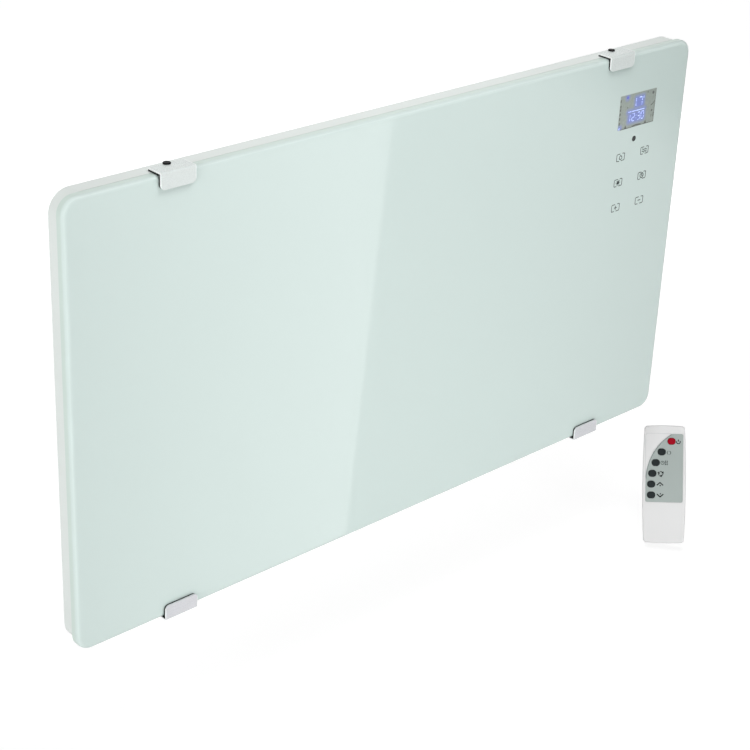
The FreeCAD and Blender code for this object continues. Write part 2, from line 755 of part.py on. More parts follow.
def control_housing():
    body = new_body("control_housing")
    flange = sketch_on(body, "XZ_Plane", HOUSING_X, "housing_z", f"{CASING_BACK} - housing_wall")
    rounded_rectangle(flange, "housing_width + 2 * housing_flange", "housing_height + 2 * housing_flange",
                      "housing_corner")
    pad(body, flange, "housing_wall")
    box = sketch_on(body, "XZ_Plane", HOUSING_X, "housing_z", "wall_gap")
    rounded_rectangle(box, "housing_width", "housing_height", "housing_corner")
    shell = pad(body, box, "housing_depth")
    fillet(body, shell, edges_on_plane(shell, 1, "-wall_gap"), "housing_wall * 2")
    hollow = sketch_on(body, "XZ_Plane", HOUSING_X, "housing_z", CASING_BACK)
    rounded_rectangle(hollow, "housing_width - 2 * housing_wall", "housing_height - 2 * housing_wall",
                      "housing_corner - housing_wall")
    pocket(body, hollow, "housing_depth - housing_wall")
    holes = sketch_on(body, "XZ_Plane", off=CASING_BACK)
    circles(holes, "screw_diameter + 2 * screw_room", housing_screw_centres())
    pocket(body, holes, "housing_wall")
    vents = sketch_on(body, "XZ_Plane", off="wall_gap + housing_wall")
    for i in range(int(value("vent_count"))):
        rectangle(vents, "vent_width", "vent_height",
                  f"({HOUSING_X} + vent_shift + ({i} - (vent_count - 1) / 2) * vent_pitch)", "housing_z")
    pocket(body, vents, "housing_wall")
    window = sketch_on(body, "YZ_Plane", f"-{HOUSING_MIDDLE}", "housing_z + switch_shift", HOUSING_RIGHT)
    rectangle(window, "(switch_body_width + 2 * switch_room)", "(switch_body_height + 2 * switch_room)")
    pocket(body, window, "housing_wall")
    inlets = sketch_on(body, "XY_Plane", off=HOUSING_FOOT)
    circles(inlets, "gland_thread + 2 * gland_room", [(f"{HOUSING_X} + gland_shift", f"-{HOUSING_MIDDLE}")])
    circles(inlets, "sensor_diameter + 2 * screw_room", [(f"{HOUSING_X} + sensor_shift", f"-{HOUSING_MIDDLE}")])
    pocket(body, inlets, "housing_wall", back=True)


def housing_screws():
    body = new_body("housing_screws")
    shank = sketch_on(body, "XZ_Plane", off=f"{CASING_BACK} - housing_wall")
    circles(shank, "screw_diameter", housing_screw_centres())
    pad(body, shank, "housing_wall + casing_wall + screw_tip")
    head = sketch_on(body, "XZ_Plane", off=f"{CASING_BACK} - housing_wall")
    circles(head, "screw_head_diameter", housing_screw_centres())
    feature = pad(body, head, "screw_head_height", back=True)
    rims = edges_on_plane(feature, 1, f"-({CASING_BACK} - housing_wall - screw_head_height)")
    fillet(body, feature, rims, "screw_head_round")


def power_parts():
    plate("power_board", "power_board_width", "power_board_height", "board_thick", POWER_BOARD_BACK,
          across=POWER_BOARD_X, up="housing_z")
    across = "(power_board_width / 2 - power_post_inset)"
    along = "(power_board_height / 2 - power_post_inset)"
    posts("board_standoffs", "power_post_diameter", "power_board_gap", POWER_BOARD_FRONT,
          [(f"{POWER_BOARD_X} {a} {across}", f"housing_z {b} {along}") for a in "-+" for b in "-+"])
    relays = new_body("relays")
    sketch = sketch_on(relays, "XZ_Plane", off=f"{POWER_BOARD_BACK} - relay_depth")
    for side in ("-", "+"):
        rectangle(sketch, "relay_width", "relay_height",
                  f"({POWER_BOARD_X} + relay_pitch)", f"(housing_z {side} relay_pitch / 2)")
    pad(relays, sketch, "relay_depth")
    plate("supply_block", "supply_width", "supply_height", "supply_depth", f"{POWER_BOARD_BACK} - supply_depth",
          across=f"{POWER_BOARD_X} - supply_width / 2", up="housing_z + supply_height / 2")
    posts("smoothing_capacitor", "capacitor_diameter", "capacitor_height",
          f"{POWER_BOARD_BACK} - capacitor_height",
          [(f"{POWER_BOARD_X} - supply_width / 2", "housing_z - capacitor_diameter")])
    plate("terminal_block", "block_width", "lead_pitch + block_width", "block_depth",
          f"{CASING_BACK} - block_depth", across=LEAD_X, up=LEAD_Z)
    posts("heater_leads", "lead_diameter", f"{FILM_BACK} - tab_thick - {CASING_BACK}", CASING_BACK, lead_centres())


def thermal_cutout():
    body = new_body("thermal_cutout")
    disc = sketch_on(body, "XZ_Plane", off=f"{CASING_BACK} - cutout_height")
    circles(disc, "cutout_diameter", [(CUTOUT_X, "housing_z")])
    pad(body, disc, "cutout_height")
    strap = sketch_on(body, "XZ_Plane", off=f"{CASING_BACK} - cutout_strap_thick")
    rectangle(strap, "cutout_strap", "cutout_diameter", CUTOUT_X, "housing_z")
    pad(body, strap, "cutout_strap_thick")


def turned(label, points, across, rise):
    """A round piece about a vertical axis in the housing's bottom wall, from pairs of radius and height."""
    body = new_body(label)
    bind(body, "Placement.Base.x", across)
    bind(body, "Placement.Base.y", f"-{HOUSING_MIDDLE}")
    bind(body, "Placement.Base.z", f"{PANEL} + {rise}")
    sketch = sketch_on(body, "XZ_Plane")
    outline(sketch, points)
    feature = body.newObject("PartDesign::Revolution", f"{label}_revolution")
    feature.Profile = sketch
    feature.ReferenceAxis = (sketch, ["V_Axis"])
    feature.Angle = 360
    doc.recompute()
    return body


def room_sensor():
    bulb, collar = "sensor_diameter / 2", "sensor_collar / 2"
    turned("room_sensor", [
        ("0", "-sensor_reach"), (f"{bulb} - sensor_collar_thick", "-sensor_reach"),
        (bulb, "sensor_collar_thick - sensor_reach"), (bulb, "-sensor_collar_thick"),
        (collar, "-sensor_collar_thick"), (collar, "0"), (bulb, "0"), (bulb, "sensor_tail"), ("0", "sensor_tail"),
    ], f"{HOUSING_X} + sensor_shift", HOUSING_FOOT)


def cable_gland():
    bore, thread = "gland_bore / 2", "gland_thread / 2"
    cap, collar = "gland_cap / 2", "gland_collar / 2"
    foot = "-gland_collar_height - gland_cap_height"
    turned("cable_gland", [
        (bore, foot), (f"({bore} + {cap}) / 2", foot), (cap, f"{foot} + gland_cap_height / 2"),
        (cap, "-gland_collar_height"), (collar, "-gland_collar_height"), (collar, "0"),
        (thread, "0"), (thread, "gland_inside"), (bore, "gland_inside"),
    ], f"{HOUSING_X} + gland_shift", HOUSING_FOOT)
    low, high = "housing_wall", "housing_wall + gland_nut_height"
    inner = f"{thread} + gland_room"
    turned("gland_nut", [(inner, low), (collar, low), (collar, high), (inner, high)],
           f"{HOUSING_X} + gland_shift", HOUSING_FOOT)


# Mains switch

def switch_frame():
    body = new_body("switch_frame")
    middle, rise = f"-{HOUSING_MIDDLE}", "housing_z + switch_shift"
    stem = sketch_on(body, "YZ_Plane", middle, rise, HOUSING_RIGHT)
    rectangle(stem, "switch_body_width", "switch_body_height")
    pad(body, stem, "switch_body_depth", back=True)
    bezel = sketch_on(body, "YZ_Plane", middle, rise, HOUSING_RIGHT)
    rounded_rectangle(bezel, "switch_bezel_width", "switch_bezel_height", "switch_bezel_thick")
    flange = pad(body, bezel, "switch_bezel_thick")
    fillet(body, flange, edges_on_plane(flange, 0, f"{HOUSING_RIGHT} + switch_bezel_thick"),
           "switch_bezel_thick / 3")
    well = sketch_on(body, "YZ_Plane", middle, rise, f"{HOUSING_RIGHT} + switch_bezel_thick")
    rectangle(well, "(switch_body_width - 2 * switch_wall)", "(switch_body_height - 2 * switch_end_wall)")
    pocket(body, well, "switch_bezel_thick + switch_well")
    pin = sketch_on(body, "XZ_Plane", f"{HOUSING_RIGHT} - rocker_pivot", rise)
    circles(pin, "rocker_pin + 2 * rocker_pin_room", [("0", "0")])
    pocket(body, pin)


def power_rocker():
    """The rocker in its own frame at its pivot, tipped to off."""
    body = new_body("power_rocker")
    body.Placement = FreeCAD.Placement(FreeCAD.Vector(), FreeCAD.Rotation(FreeCAD.Vector(0, 1, 0), 1))
    bind(body, "Placement.Rotation.Angle", "rocker_tilt")
    bind(body, "Placement.Base.x", f"{HOUSING_RIGHT} - rocker_pivot")
    bind(body, "Placement.Base.y", f"-{HOUSING_MIDDLE}")
    bind(body, "Placement.Base.z", f"{PANEL} + housing_z + switch_shift")
    width = "(switch_body_width - 2 * switch_wall - 2 * rocker_room)"
    profile = sketch_on(body, "XZ_Plane")
    outline(profile, [
        ("-rocker_foot", "-rocker_foot_half"), ("0", "-rocker_half_length"), ("rocker_rise", "-rocker_half_length"),
        ("rocker_rise - rocker_dip", "0"), ("rocker_rise", "rocker_half_length"), ("0", "rocker_half_length"),
        ("-rocker_foot", "rocker_foot_half")])
    pad(body, profile, width, centred=True)
    pin = sketch_on(body, "XZ_Plane")
    circles(pin, "rocker_pin", [("0", "0")])
    pad(body, pin, f"{width} + 2 * rocker_room + 2 * rocker_pin_bite", centred=True)


# Rails and spacers

def wall_rail():
    body = new_body("wall_rail", "0")
    profile = sketch_on(body, "YZ_Plane")
    low, high = "-rail_height / 2", "rail_height / 2"
    outline(profile, [
        ("0", low), ("0", high), ("rail_thick - rail_reach", high), ("rail_thick - rail_reach", HOOK_Z),
        ("-rail_reach", HOOK_Z), ("-rail_reach", f"{high} - rail_thick"), ("-rail_thick", f"{high} - rail_thick"),
        ("-rail_thick", low)])
    pad(body, profile, "rail_length", centred=True)
    holes = sketch_on(body, "XZ_Plane", off="rail_thick")
    circles(holes, "rail_hole_diameter", corners_of("rail_hole_pitch / 2", "rail_hole_rise / 2"))
    pocket(body, holes, "rail_thick")


def hanger_rail():
    body = new_body("hanger_rail", "0")
    profile = sketch_on(body, "YZ_Plane")
    top = f"{HOOK_Z} + rail_thick"
    tip = "-(rail_reach - rail_thick - hanger_room)"
    face = f"-{CASING_BACK}"
    outline(profile, [
        (face, f"{top} - hanger_height"), (face, top), (f"{tip} + rail_thick", top),
        (f"{tip} + rail_thick", f"{HOOK_Z} - hanger_hook"), (tip, f"{HOOK_Z} - hanger_hook"), (tip, HOOK_Z),
        (f"{face} + rail_thick", HOOK_Z), (f"{face} + rail_thick", f"{top} - hanger_height")])
    pad(body, profile, "hanger_length", centred=True)
    holes = sketch_on(body, "XZ_Plane", up=PANEL, off=CASING_BACK)
    circles(holes, "rivet_diameter + 2 * screw_room", rivet_centres())
    pocket(body, holes, "rail_thick")


def hanger_rivets():
    body = new_body("hanger_rivets")
    head_seat = f"({CASING_BACK} - rail_thick)"
    shank = sketch_on(body, "XZ_Plane", off=head_seat)
    circles(shank, "rivet_diameter", rivet_centres())
    pad(body, shank, "rail_thick + casing_wall")
    head = sketch_on(body, "XZ_Plane", off=head_seat)
    circles(head, "rivet_head_diameter", rivet_centres())
    feature = pad(body, head, "rivet_head_height", back=True)
    rims = edges_on_plane(feature, 1, f"-({head_seat} - rivet_head_height)")
    fillet(body, feature, rims, "rivet_head_height / 2")
    tail = sketch_on(body, "XZ_Plane", off=CASING_INSIDE)
    circles(tail, "rivet_tail_diameter", rivet_centres())
    pad(body, tail, "rivet_tail_height")


def spacers():
    centres = [(f"{side}{SPACER_X}", SPACER_Z) for side in ("-", "")]
    posts("spacer_posts", "spacer_diameter", f"{CASING_BACK} - spacer_tip_height", "spacer_tip_height", centres)
    posts("spacer_tips", "spacer_tip_diameter", "spacer_tip_height", "0", centres)


# Handset

def button_centre(index):
    """Centre of a button, counted from the lowest: the buttons climb straight, then follow an arc."""
    climb = max(index - 1, 0)
    across = f"button_arc - button_left - sqrt(button_arc ^ 2 - ({climb} * button_pitch) ^ 2)"
    return f"({across})", f"(button_foot + {index} * button_pitch)"


def button_hole(body, index, grow, out):
    across, up = button_centre(index)
    sketch = sketch_on(body, "XZ_Plane", across, up, out)
    rounded_rectangle(sketch, f"button_width + 2 * {grow}", f"button_height + 2 * {grow}", f"button_round + {grow}")
    return sketch


def shell_block(body, out, depth, edge, front):
    """A solid slice of the handset's outer form, with round corners and one round rim."""
    middle = "remote_length / 2"
    sketch = sketch_on(body, "XZ_Plane", up=middle, off=out)
    bowed_outline(sketch, "remote_width", "remote_length", "remote_bow", "remote_end_bow")
    block = pad(body, sketch, depth)
    block = fillet(body, block, edges_along(block, 1), "remote_corner")
    rim = f"-({out} + {depth})" if front else f"-({out})"
    return fillet(body, block, edges_on_plane(block, 1, rim), edge)


def shell_hollow(body, out, depth, back):
    sketch = sketch_on(body, "XZ_Plane", up="remote_length / 2", off=out)
    bowed_outline(sketch, "(remote_width - 2 * remote_wall)", "(remote_length - 2 * remote_wall)",
                  "remote_bow", "remote_end_bow")
    pocket(body, sketch, depth, back=back)


def remote_front_shell():
    body = remote_body("remote_front_shell")
    depth = "(remote_thick - remote_split)"
    shell_block(body, "remote_split", depth, "remote_edge", True)
    shell_hollow(body, "remote_split", f"{depth} - remote_wall", True)
    recess = sketch_on(body, "XZ_Plane", up=PLATE_Z, off="remote_thick")
    rounded_rectangle(recess, "plate_width + 2 * plate_room", "plate_height + 2 * plate_room", "plate_round")
    pocket(body, recess, "plate_thick")
    for index in range(len(BUTTONS)):
        pocket(body, button_hole(body, index, "button_room", "remote_thick"), "remote_wall")
    eye = sketch_on(body, "XY_Plane", off="remote_length")
    circles(eye, "led_diameter + 2 * led_room", [("0", f"-({REMOTE_BOARD_FRONT})")])
    pocket(body, eye, "remote_wall + 2 * remote_end_bow")


def remote_rear_shell():
    body = remote_body("remote_rear_shell")
    shell_block(body, "0", "remote_split", "remote_back_edge", False)
    shell_hollow(body, "remote_split", "remote_split - remote_back", False)
    seat = sketch_on(body, "XZ_Plane", up=CELL_Z)
    rectangle(seat, f"({BAY_WIDTH} + 2 * door_ledge + 2 * door_room)",
              f"({BAY_HEIGHT} + 2 * door_ledge + 2 * door_room)")
    pocket(body, seat, "door_thick + door_seat", back=True)
    bay = sketch_on(body, "XZ_Plane", up=CELL_Z)
    rectangle(bay, BAY_WIDTH, BAY_HEIGHT)
    pocket(body, bay, "remote_back", back=True)
    ribs = sketch_on(body, "XZ_Plane", up=CELL_Z, off="remote_back")
    for side in ("-", ""):
        rectangle(ribs, f"({BAY_WIDTH} + 2 * rib_thick)", "rib_thick", "0", f"{side}({BAY_HEIGHT} + rib_thick) / 2")
    pad(body, ribs, "cell_room + cell_diameter")
    bosses = sketch_on(body, "XZ_Plane", up=PLATE_Z, off="remote_back")
    circles(bosses, "boss_diameter", [(f"{a}(remote_board_width / 2 - boss_inset)", rise) for a in ("-", "")
                                      for rise in (f"{REMOTE_BOARD_HEIGHT} / 2 - boss_inset", "-boss_inset * 5")])
    pad(body, bosses, f"{REMOTE_BOARD_BACK} - remote_back")


def remote_face_plate():
    body = remote_body("remote_face_plate")
    sketch = sketch_on(body, "XZ_Plane", off="remote_thick - plate_thick")
    left, right = "-plate_width / 2", "plate_width / 2"
    high = "plate_foot + plate_height"
    shoulder = (left, "plate_foot + plate_shoulder")
    tip = ("plate_width / 2 - plate_top", high)
    corners = [shoulder, (left, "plate_foot"), (right, "plate_foot"), (right, high), tip]
    places = [FreeCAD.Vector(value(across), value(up), 0) for across, up in corners]
    for i in range(4):
        sketch.addGeometry(Part.LineSegment(places[i], places[i + 1]))
    run, climb = "(plate_width - plate_top)", "(plate_height - plate_shoulder)"
    arc_between(sketch, tip, shoulder, f"({run} ^ 2 + {climb} ^ 2) / (2 * {run})")
    for i in range(5):
        sketch.addConstraint(Sketcher.Constraint("Coincident", i, 2, (i + 1) % 5, 1))
        pin_point(sketch, i, 1, *corners[i])
    sheet_metal = pad(body, sketch, "plate_thick")
    square = both(edges_along(sheet_metal, 1), edges_on_plane(sheet_metal, 2, "plate_foot")
                  + edges_on_plane(sheet_metal, 0, right))
    fillet(body, sheet_metal, square, "plate_round")
    for index in range(len(BUTTONS)):
        pocket(body, button_hole(body, index, "button_room", "remote_thick"), "plate_thick")


def remote_button(index):
    body = remote_body(f"remote_button_{BUTTONS[index]}")
    flange_back = f"({SHELL_INSIDE} - button_flange_thick)"
    flange = button_hole(body, index, "button_flange", flange_back)
    pad(body, flange, "button_flange_thick")
    stem = button_hole(body, index, "0", SHELL_INSIDE)
    cap = pad(body, stem, "remote_wall + button_rise")
    fillet(body, cap, edges_on_plane(cap, 1, "-remote_thick - button_rise"), "button_dome")


def remote_insides():
    for label, width, thick, out in (
            ("remote_key_sheet", "remote_board_width", "key_sheet_thick", REMOTE_BOARD_FRONT),
            ("remote_board", "remote_board_width", "board_thick", REMOTE_BOARD_BACK)):
        body = remote_body(label)
        sketch = sketch_on(body, "XZ_Plane", up=PLATE_Z, off=out)
        rectangle(sketch, width, REMOTE_BOARD_HEIGHT)
        pad(body, sketch, thick)
    cells = remote_body("remote_cells")
    sketch = sketch_on(cells, "XY_Plane", off="cell_foot")
    circles(sketch, "cell_diameter", [(f"{side}{CELL_X}", f"-{CELL_OUT}") for side in ("-", "")])
    pad(cells, sketch, "cell_length")
    contacts = remote_body("remote_contacts")
    for level, down in (("cell_foot", True), ("cell_foot + cell_length", False)):
        sketch = sketch_on(contacts, "XY_Plane", off=level)
        for side in ("-", ""):
            rectangle(sketch, "contact_width", "contact_width", f"{side}{CELL_X}", f"-{CELL_OUT}")
        pad(contacts, sketch, "contact_thick", back=down)


def remote_led():
    body = remote_body("remote_led")
    foot = f"{PLATE_Z} + {REMOTE_BOARD_HEIGHT} / 2"
    sketch = sketch_on(body, "XY_Plane", off=foot)
    circles(sketch, "led_diameter", [("0", f"-({REMOTE_BOARD_FRONT})")])
    lens = pad(body, sketch, f"remote_length - ({foot})")
    fillet(body, lens, edges_on_plane(lens, 2, "remote_length"), "led_dome")


def remote_battery_door():
    body = remote_body("remote_battery_door")
    sketch = sketch_on(body, "XZ_Plane", up=CELL_Z)
    height = f"({BAY_HEIGHT} + 2 * door_ledge)"
    rectangle(sketch, f"({BAY_WIDTH} + 2 * door_ledge)", height)
    door = pad(body, sketch, "door_thick")
    ends = edges_on_plane(door, 2, f"{CELL_Z} + {height} / 2") + edges_on_plane(door, 2, f"{CELL_Z} - {height} / 2")
    fillet(body, door, both(ends, edges_on_plane(door, 1, "0")), "door_round")


glass_panel()
glass_seal()
heating_film()
insulation_board()
casing_tray()
for level, rise in (("top", ""), ("bottom", "-")):
    for hand, side in (("left", "-"), ("right", "")):
        clip(f"clip_{level}_{hand}", side, rise)
clip_pads()
clip_screws()
clip_nuts()
display_parts()
display_ribbon()
control_housing()
housing_screws()
power_parts()
thermal_cutout()
room_sensor()
cable_gland()
switch_frame()
power_rocker()
wall_rail()
hanger_rail()
hanger_rivets()
spacers()
remote_front_shell()
remote_rear_shell()
remote_face_plate()
for number in range(len(BUTTONS)):
    remote_button(number)
remote_insides()
remote_led()
remote_battery_door()
doc.recompute()

for thing in doc.Objects:
    if "Invalid" in thing.State or "Error" in thing.State:
        raise ValueError(f"{thing.Label} failed: {thing.State}")
for node in nodes:
    if node.Shape.isNull() or not node.Shape.isValid() or not node.Shape.Solids:
        raise ValueError(f"{node.Label} has no valid solid")

os.makedirs("parts", exist_ok=True)
for node in nodes:
    node.Shape.exportStep(os.path.join("parts", f"{node.Label}.step"))
print(len(nodes), "sub-parts written")
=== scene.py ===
import math

import bmesh
import bpy
from mathutils import Euler, Matrix, Vector


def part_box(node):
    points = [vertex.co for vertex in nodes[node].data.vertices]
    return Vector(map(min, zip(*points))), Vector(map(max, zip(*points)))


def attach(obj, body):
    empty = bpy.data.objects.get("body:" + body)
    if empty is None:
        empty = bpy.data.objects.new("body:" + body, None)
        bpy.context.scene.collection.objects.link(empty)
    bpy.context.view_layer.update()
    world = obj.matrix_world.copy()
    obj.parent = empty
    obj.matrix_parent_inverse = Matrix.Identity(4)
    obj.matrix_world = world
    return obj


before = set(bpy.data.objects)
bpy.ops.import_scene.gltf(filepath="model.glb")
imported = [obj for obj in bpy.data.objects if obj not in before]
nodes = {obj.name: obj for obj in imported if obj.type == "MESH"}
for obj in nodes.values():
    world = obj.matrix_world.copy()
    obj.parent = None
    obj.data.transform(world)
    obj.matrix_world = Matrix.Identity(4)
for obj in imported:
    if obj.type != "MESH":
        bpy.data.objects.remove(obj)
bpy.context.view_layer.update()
scene = bpy.context.scene
scene.view_settings.view_transform = "Standard"

# Places that the CAD gives, in millimetres and degrees; the floor's height is in metres
MM = 0.001
PANEL_Z = -90.0
GLASS_OUT = 55.5
GLASS_THICK = 9.5
DISPLAY_X = 328.5
DISPLAY_Z = 159.7
REMOTE_FACE = 22.05
REMOTE_FOOT = Vector((417.0, -97.0, -492.1))
REMOTE_TURN = (-29.1, -5.3, -50.5)
REMOTE_POSE = Euler([math.radians(angle) for angle in REMOTE_TURN], "XYZ").to_matrix()
FLOOR_GAP = 0.0002
FLOOR_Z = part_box("remote_rear_shell")[0].z - FLOOR_GAP

# How far the prints lie in front of the glass, in millimetres, so that each shows above the one below
WINDOW_LIFT, SIGN_LIFT, MARK_LIFT, FIGURE_LIFT = 0.03, 0.04, 0.05, 0.06

# The rubber rims of the clips, partly the lining and partly painted shade for the gap under each lip, in
# millimetres: corner, length of the sides, inset, and how far in front of the glass they start and end
RIM_BEND, RIM_SIDE, RIM_INSET, RIM_NEAR, RIM_FAR = 4.4, 13.0, 0.1, 0.02, 1.58

# Looks, with distances in metres
WHITE = (1, 1, 1, 1)
GLASS_IOR = 1.5
ROUGH_WANDER = 0.15
PAINTED_SHADE_REACH = 0.014
GLOW_REACH = 0.005
MITRE_LIMIT = 0.4
SEGMENT_FREE = 0.55

# Studio: levels of light, and distances in metres
FLOOR_RADIUS = 9.0
FLOOR_BOUNCE, FLOOR_SHADE = 0.6, 0.36
FLOOR_GLOW_NEAR, FLOOR_GLOW_FAR = 0.77, 0.95
FLOOR_FADE_FROM, FLOOR_FADE_TO = 1.0, 1.9
WORLD_BOUNCE, WORLD_SEEN = 0.12, 1.0
CARD_LIFT = 0.001
CARD_LOW, CARD_HIGH = 1.1, 2.4
DARK_LEVEL, DARK_SLANT = 0.1, 0.35

# The camera that was solved from the photo
CAMERA_PLACE = Vector((-1.2115, -1.2732, 0.6970))
CAMERA_YAW, CAMERA_DOWN, CAMERA_ROLL = -43.75, 26.31, 2.55
CAMERA_LENS, CAMERA_SENSOR = 89.76, 36.0
CAMERA_NEAR, CAMERA_FAR = 0.05, 60.0


def linear(red, green, blue):
    """Linear colour of an sRGB colour given as 0 to 255."""
    def channel(level):
        level /= 255
        return level / 12.92 if level <= 0.04045 else ((level + 0.055) / 1.055) ** 2.4
    return (channel(red), channel(green), channel(blue), 1.0)


def grey(level):
    """A grey of one linear level."""
    return (level, level, level, 1)


def by_display(x, z, lift=0.0):
    """A point on the glass's front, in millimetres from the display's centre."""
    return Vector((DISPLAY_X + x, -(GLASS_OUT + lift), DISPLAY_Z + PANEL_Z + z)) * MM


def on_remote(x, z, out):
    """A point of the handset, in its own millimetres."""
    return (REMOTE_FOOT + REMOTE_POSE @ Vector((x, -out, z))) * MM


# Materials

def new_material(name):
    """A material with its node tree and its main shader."""
    material = bpy.data.materials.new(name)
    material.use_nodes = True
    tree = material.node_tree
    shader = tree.nodes["Principled BSDF"]
    return material, tree, shader


def bare_material(name):
    """A material with an empty node tree and its output."""
    material = bpy.data.materials.new(name)
    material.use_nodes = True
    tree = material.node_tree
    tree.nodes.clear()
    return material, tree, add(tree, "ShaderNodeOutputMaterial")


def add(tree, kind, **settings):
    """A node of one kind with its settings."""
    node = tree.nodes.new(kind)
    for key, setting in settings.items():
        setattr(node, key, setting)
    return node


def object_noise(tree, scale, detail=3.0, stretch=(1, 1, 1)):
    """A noise in the part's own metres."""
    coords = add(tree, "ShaderNodeTexCoord")
    mapping = add(tree, "ShaderNodeMapping")
    mapping.inputs["Scale"].default_value = stretch
    noise = add(tree, "ShaderNodeTexNoise")
    noise.inputs["Scale"].default_value = scale
    noise.inputs["Detail"].default_value = detail
    tree.links.new(coords.outputs["Object"], mapping.inputs["Vector"])
    tree.links.new(mapping.outputs["Vector"], noise.inputs["Vector"])
    return noise.outputs["Fac"]


def ramp(tree, source, stops):
    """A colour by a value, through stops of a place and a colour each."""
    node = add(tree, "ShaderNodeValToRGB")
    elements = node.color_ramp.elements
    while len(elements) < len(stops):
        elements.new(0.5)
    for element, (place, colour) in zip(elements, stops):
        element.position = place
        element.color = colour
    tree.links.new(source, node.inputs["Fac"])
    return node.outputs["Color"]


def spread(tree, source, low, high, from_low=0.3, from_high=0.7):
    """A value carried over from one range to another."""
    node = add(tree, "ShaderNodeMapRange")
    for key, number in (("From Min", from_low), ("From Max", from_high), ("To Min", low), ("To Max", high)):
        node.inputs[key].default_value = number
    tree.links.new(source, node.inputs["Value"])
    return node.outputs["Result"]


def multiply(tree, first, second):
    """The product of two colours."""
    mix = add(tree, "ShaderNodeMix", data_type="RGBA", blend_type="MULTIPLY")
    mix.inputs["Factor"].default_value = 1.0
    tree.links.new(first, mix.inputs["A"])
    tree.links.new(second, mix.inputs["B"])
    return mix.outputs["Result"]


def bump(tree, shader, source, strength, distance):
    """Fine relief on a shader's surface."""
    node = add(tree, "ShaderNodeBump")
    node.inputs["Strength"].default_value = strength
    node.inputs["Distance"].default_value = distance
    tree.links.new(source, node.inputs["Height"])
    tree.links.new(node.outputs["Normal"], shader.inputs["Normal"])


def finish_material(name, colour, rough, spot=0.04, grain=900.0, relief=0.15, metallic=0.0,
                    stretch=(1, 1, 1), depth=0.00004, blotch=14.0, gloss=0.5):
    """A surface of one colour with faint blotches, a roughness that wanders and a fine grain.

    spot is the blotches' strength and blotch their scale; grain, relief and depth are the fine grain's
    scale, strength and height in metres; stretch draws both out along an axis.
    """
    material, tree, shader = new_material(name)
    shade = [channel * (1 - spot) for channel in colour[:3]] + [1.0]
    tint = [min(channel * (1 + spot), 1.0) for channel in colour[:3]] + [1.0]
    blotches = object_noise(tree, blotch, 4.0, stretch)
    tree.links.new(ramp(tree, blotches, [(0.3, shade), (0.7, tint)]), shader.inputs["Base Color"])
    fine = object_noise(tree, grain, 2.0, stretch)
    low, high = rough * (1 - ROUGH_WANDER), min(rough * (1 + ROUGH_WANDER), 1.0)
    tree.links.new(spread(tree, fine, low, high), shader.inputs["Roughness"])
    bump(tree, shader, fine, relief, depth)
    shader.inputs["Metallic"].default_value = metallic
    shader.inputs["Specular IOR Level"].default_value = gloss
    return material


def glass_material():
    """Back-painted glass: pale face, ground arris with a painted highlight, greener edge, painted shade near
    the clips.
    """
    material, tree, shader = new_material("back_painted_glass")
    coords = add(tree, "ShaderNodeTexCoord")
    axes = add(tree, "ShaderNodeSeparateXYZ")
    tree.links.new(coords.outputs["Object"], axes.inputs["Vector"])
    front, back = -GLASS_OUT * MM, -(GLASS_OUT - GLASS_THICK) * MM
    depth = spread(tree, axes.outputs["Y"], 0.0, 1.0, front, back)
    face = linear(204, 219, 215)
    # The arris's brighter colour is a painted highlight
    arris = linear(208, 222, 218)
    edge = linear(201, 216, 209)
    by_depth = ramp(tree, depth, [(0.0, face), (0.05, arris), (0.3, arris), (0.5, edge), (1.0, edge)])
    cloud = ramp(tree, object_noise(tree, 2.2, 2.0), [(0.3, (0.985, 0.99, 0.99, 1)), (0.7, WHITE)])
    # Painted shade: the glass's colour darkens near the clips, where ambient occlusion finds them close
    near = add(tree, "ShaderNodeAmbientOcclusion", samples=8)
    near.inputs["Distance"].default_value = PAINTED_SHADE_REACH
    painted_contact_shade = ramp(tree, near.outputs["AO"], [(0.45, (0.74, 0.77, 0.76, 1)), (0.97, WHITE)])
    shade = multiply(tree, multiply(tree, by_depth, cloud), painted_contact_shade)
    tree.links.new(shade, shader.inputs["Base Color"])
    polish = spread(tree, object_noise(tree, 40.0), 0.025, 0.045)
    ground = spread(tree, depth, 0.0, 0.3, 0.01, 0.08)
    rough = add(tree, "ShaderNodeMath", operation="ADD")
    tree.links.new(polish, rough.inputs[0])
    tree.links.new(ground, rough.inputs[1])
    tree.links.new(rough.outputs["Value"], shader.inputs["Roughness"])
    shader.inputs["IOR"].default_value = GLASS_IOR
    return material


def clip_material(name, paint):
    """White satin paint on bent sheet, with a painted highlight on the sheet's edges at either end."""
    material, tree, shader = new_material(name)
    coords = add(tree, "ShaderNodeTexCoord")
    axes = add(tree, "ShaderNodeSeparateXYZ")
    tree.links.new(coords.outputs["Generated"], axes.inputs["Vector"])
    # Painted highlight: the sheet's end faces are coloured near white, as if strongly lit
    edge_highlight = linear(250, 252, 252)
    ends = ramp(tree, axes.outputs["X"],
                [(0.0, edge_highlight), (0.006, edge_highlight), (0.016, paint), (0.984, paint), (0.994, edge_highlight)])
    cloud = ramp(tree, object_noise(tree, 60.0, 3.0), [(0.3, grey(0.98)), (0.7, WHITE)])
    tree.links.new(multiply(tree, ends, cloud), shader.inputs["Base Color"])
    fine = object_noise(tree, 1500.0, 2.0)
    tree.links.new(spread(tree, fine, 0.24, 0.32), shader.inputs["Roughness"])
    bump(tree, shader, fine, 0.1, 0.00004)
    return material


def film_material():
    """Printed carbon film: dark tracks between paler bus lines."""
    material, tree, shader = new_material("carbon_film")
    coords = add(tree, "ShaderNodeTexCoord")
    wave = add(tree, "ShaderNodeTexWave", bands_direction="Z")
    wave.inputs["Scale"].default_value = 60.0
    tree.links.new(coords.outputs["Object"], wave.inputs["Vector"])
    tracks = ramp(tree, wave.outputs["Fac"], [(0.35, linear(34, 33, 33)), (0.6, linear(70, 68, 66))])
    tree.links.new(tracks, shader.inputs["Base Color"])
    shader.inputs["Roughness"].default_value = 0.55
    return material


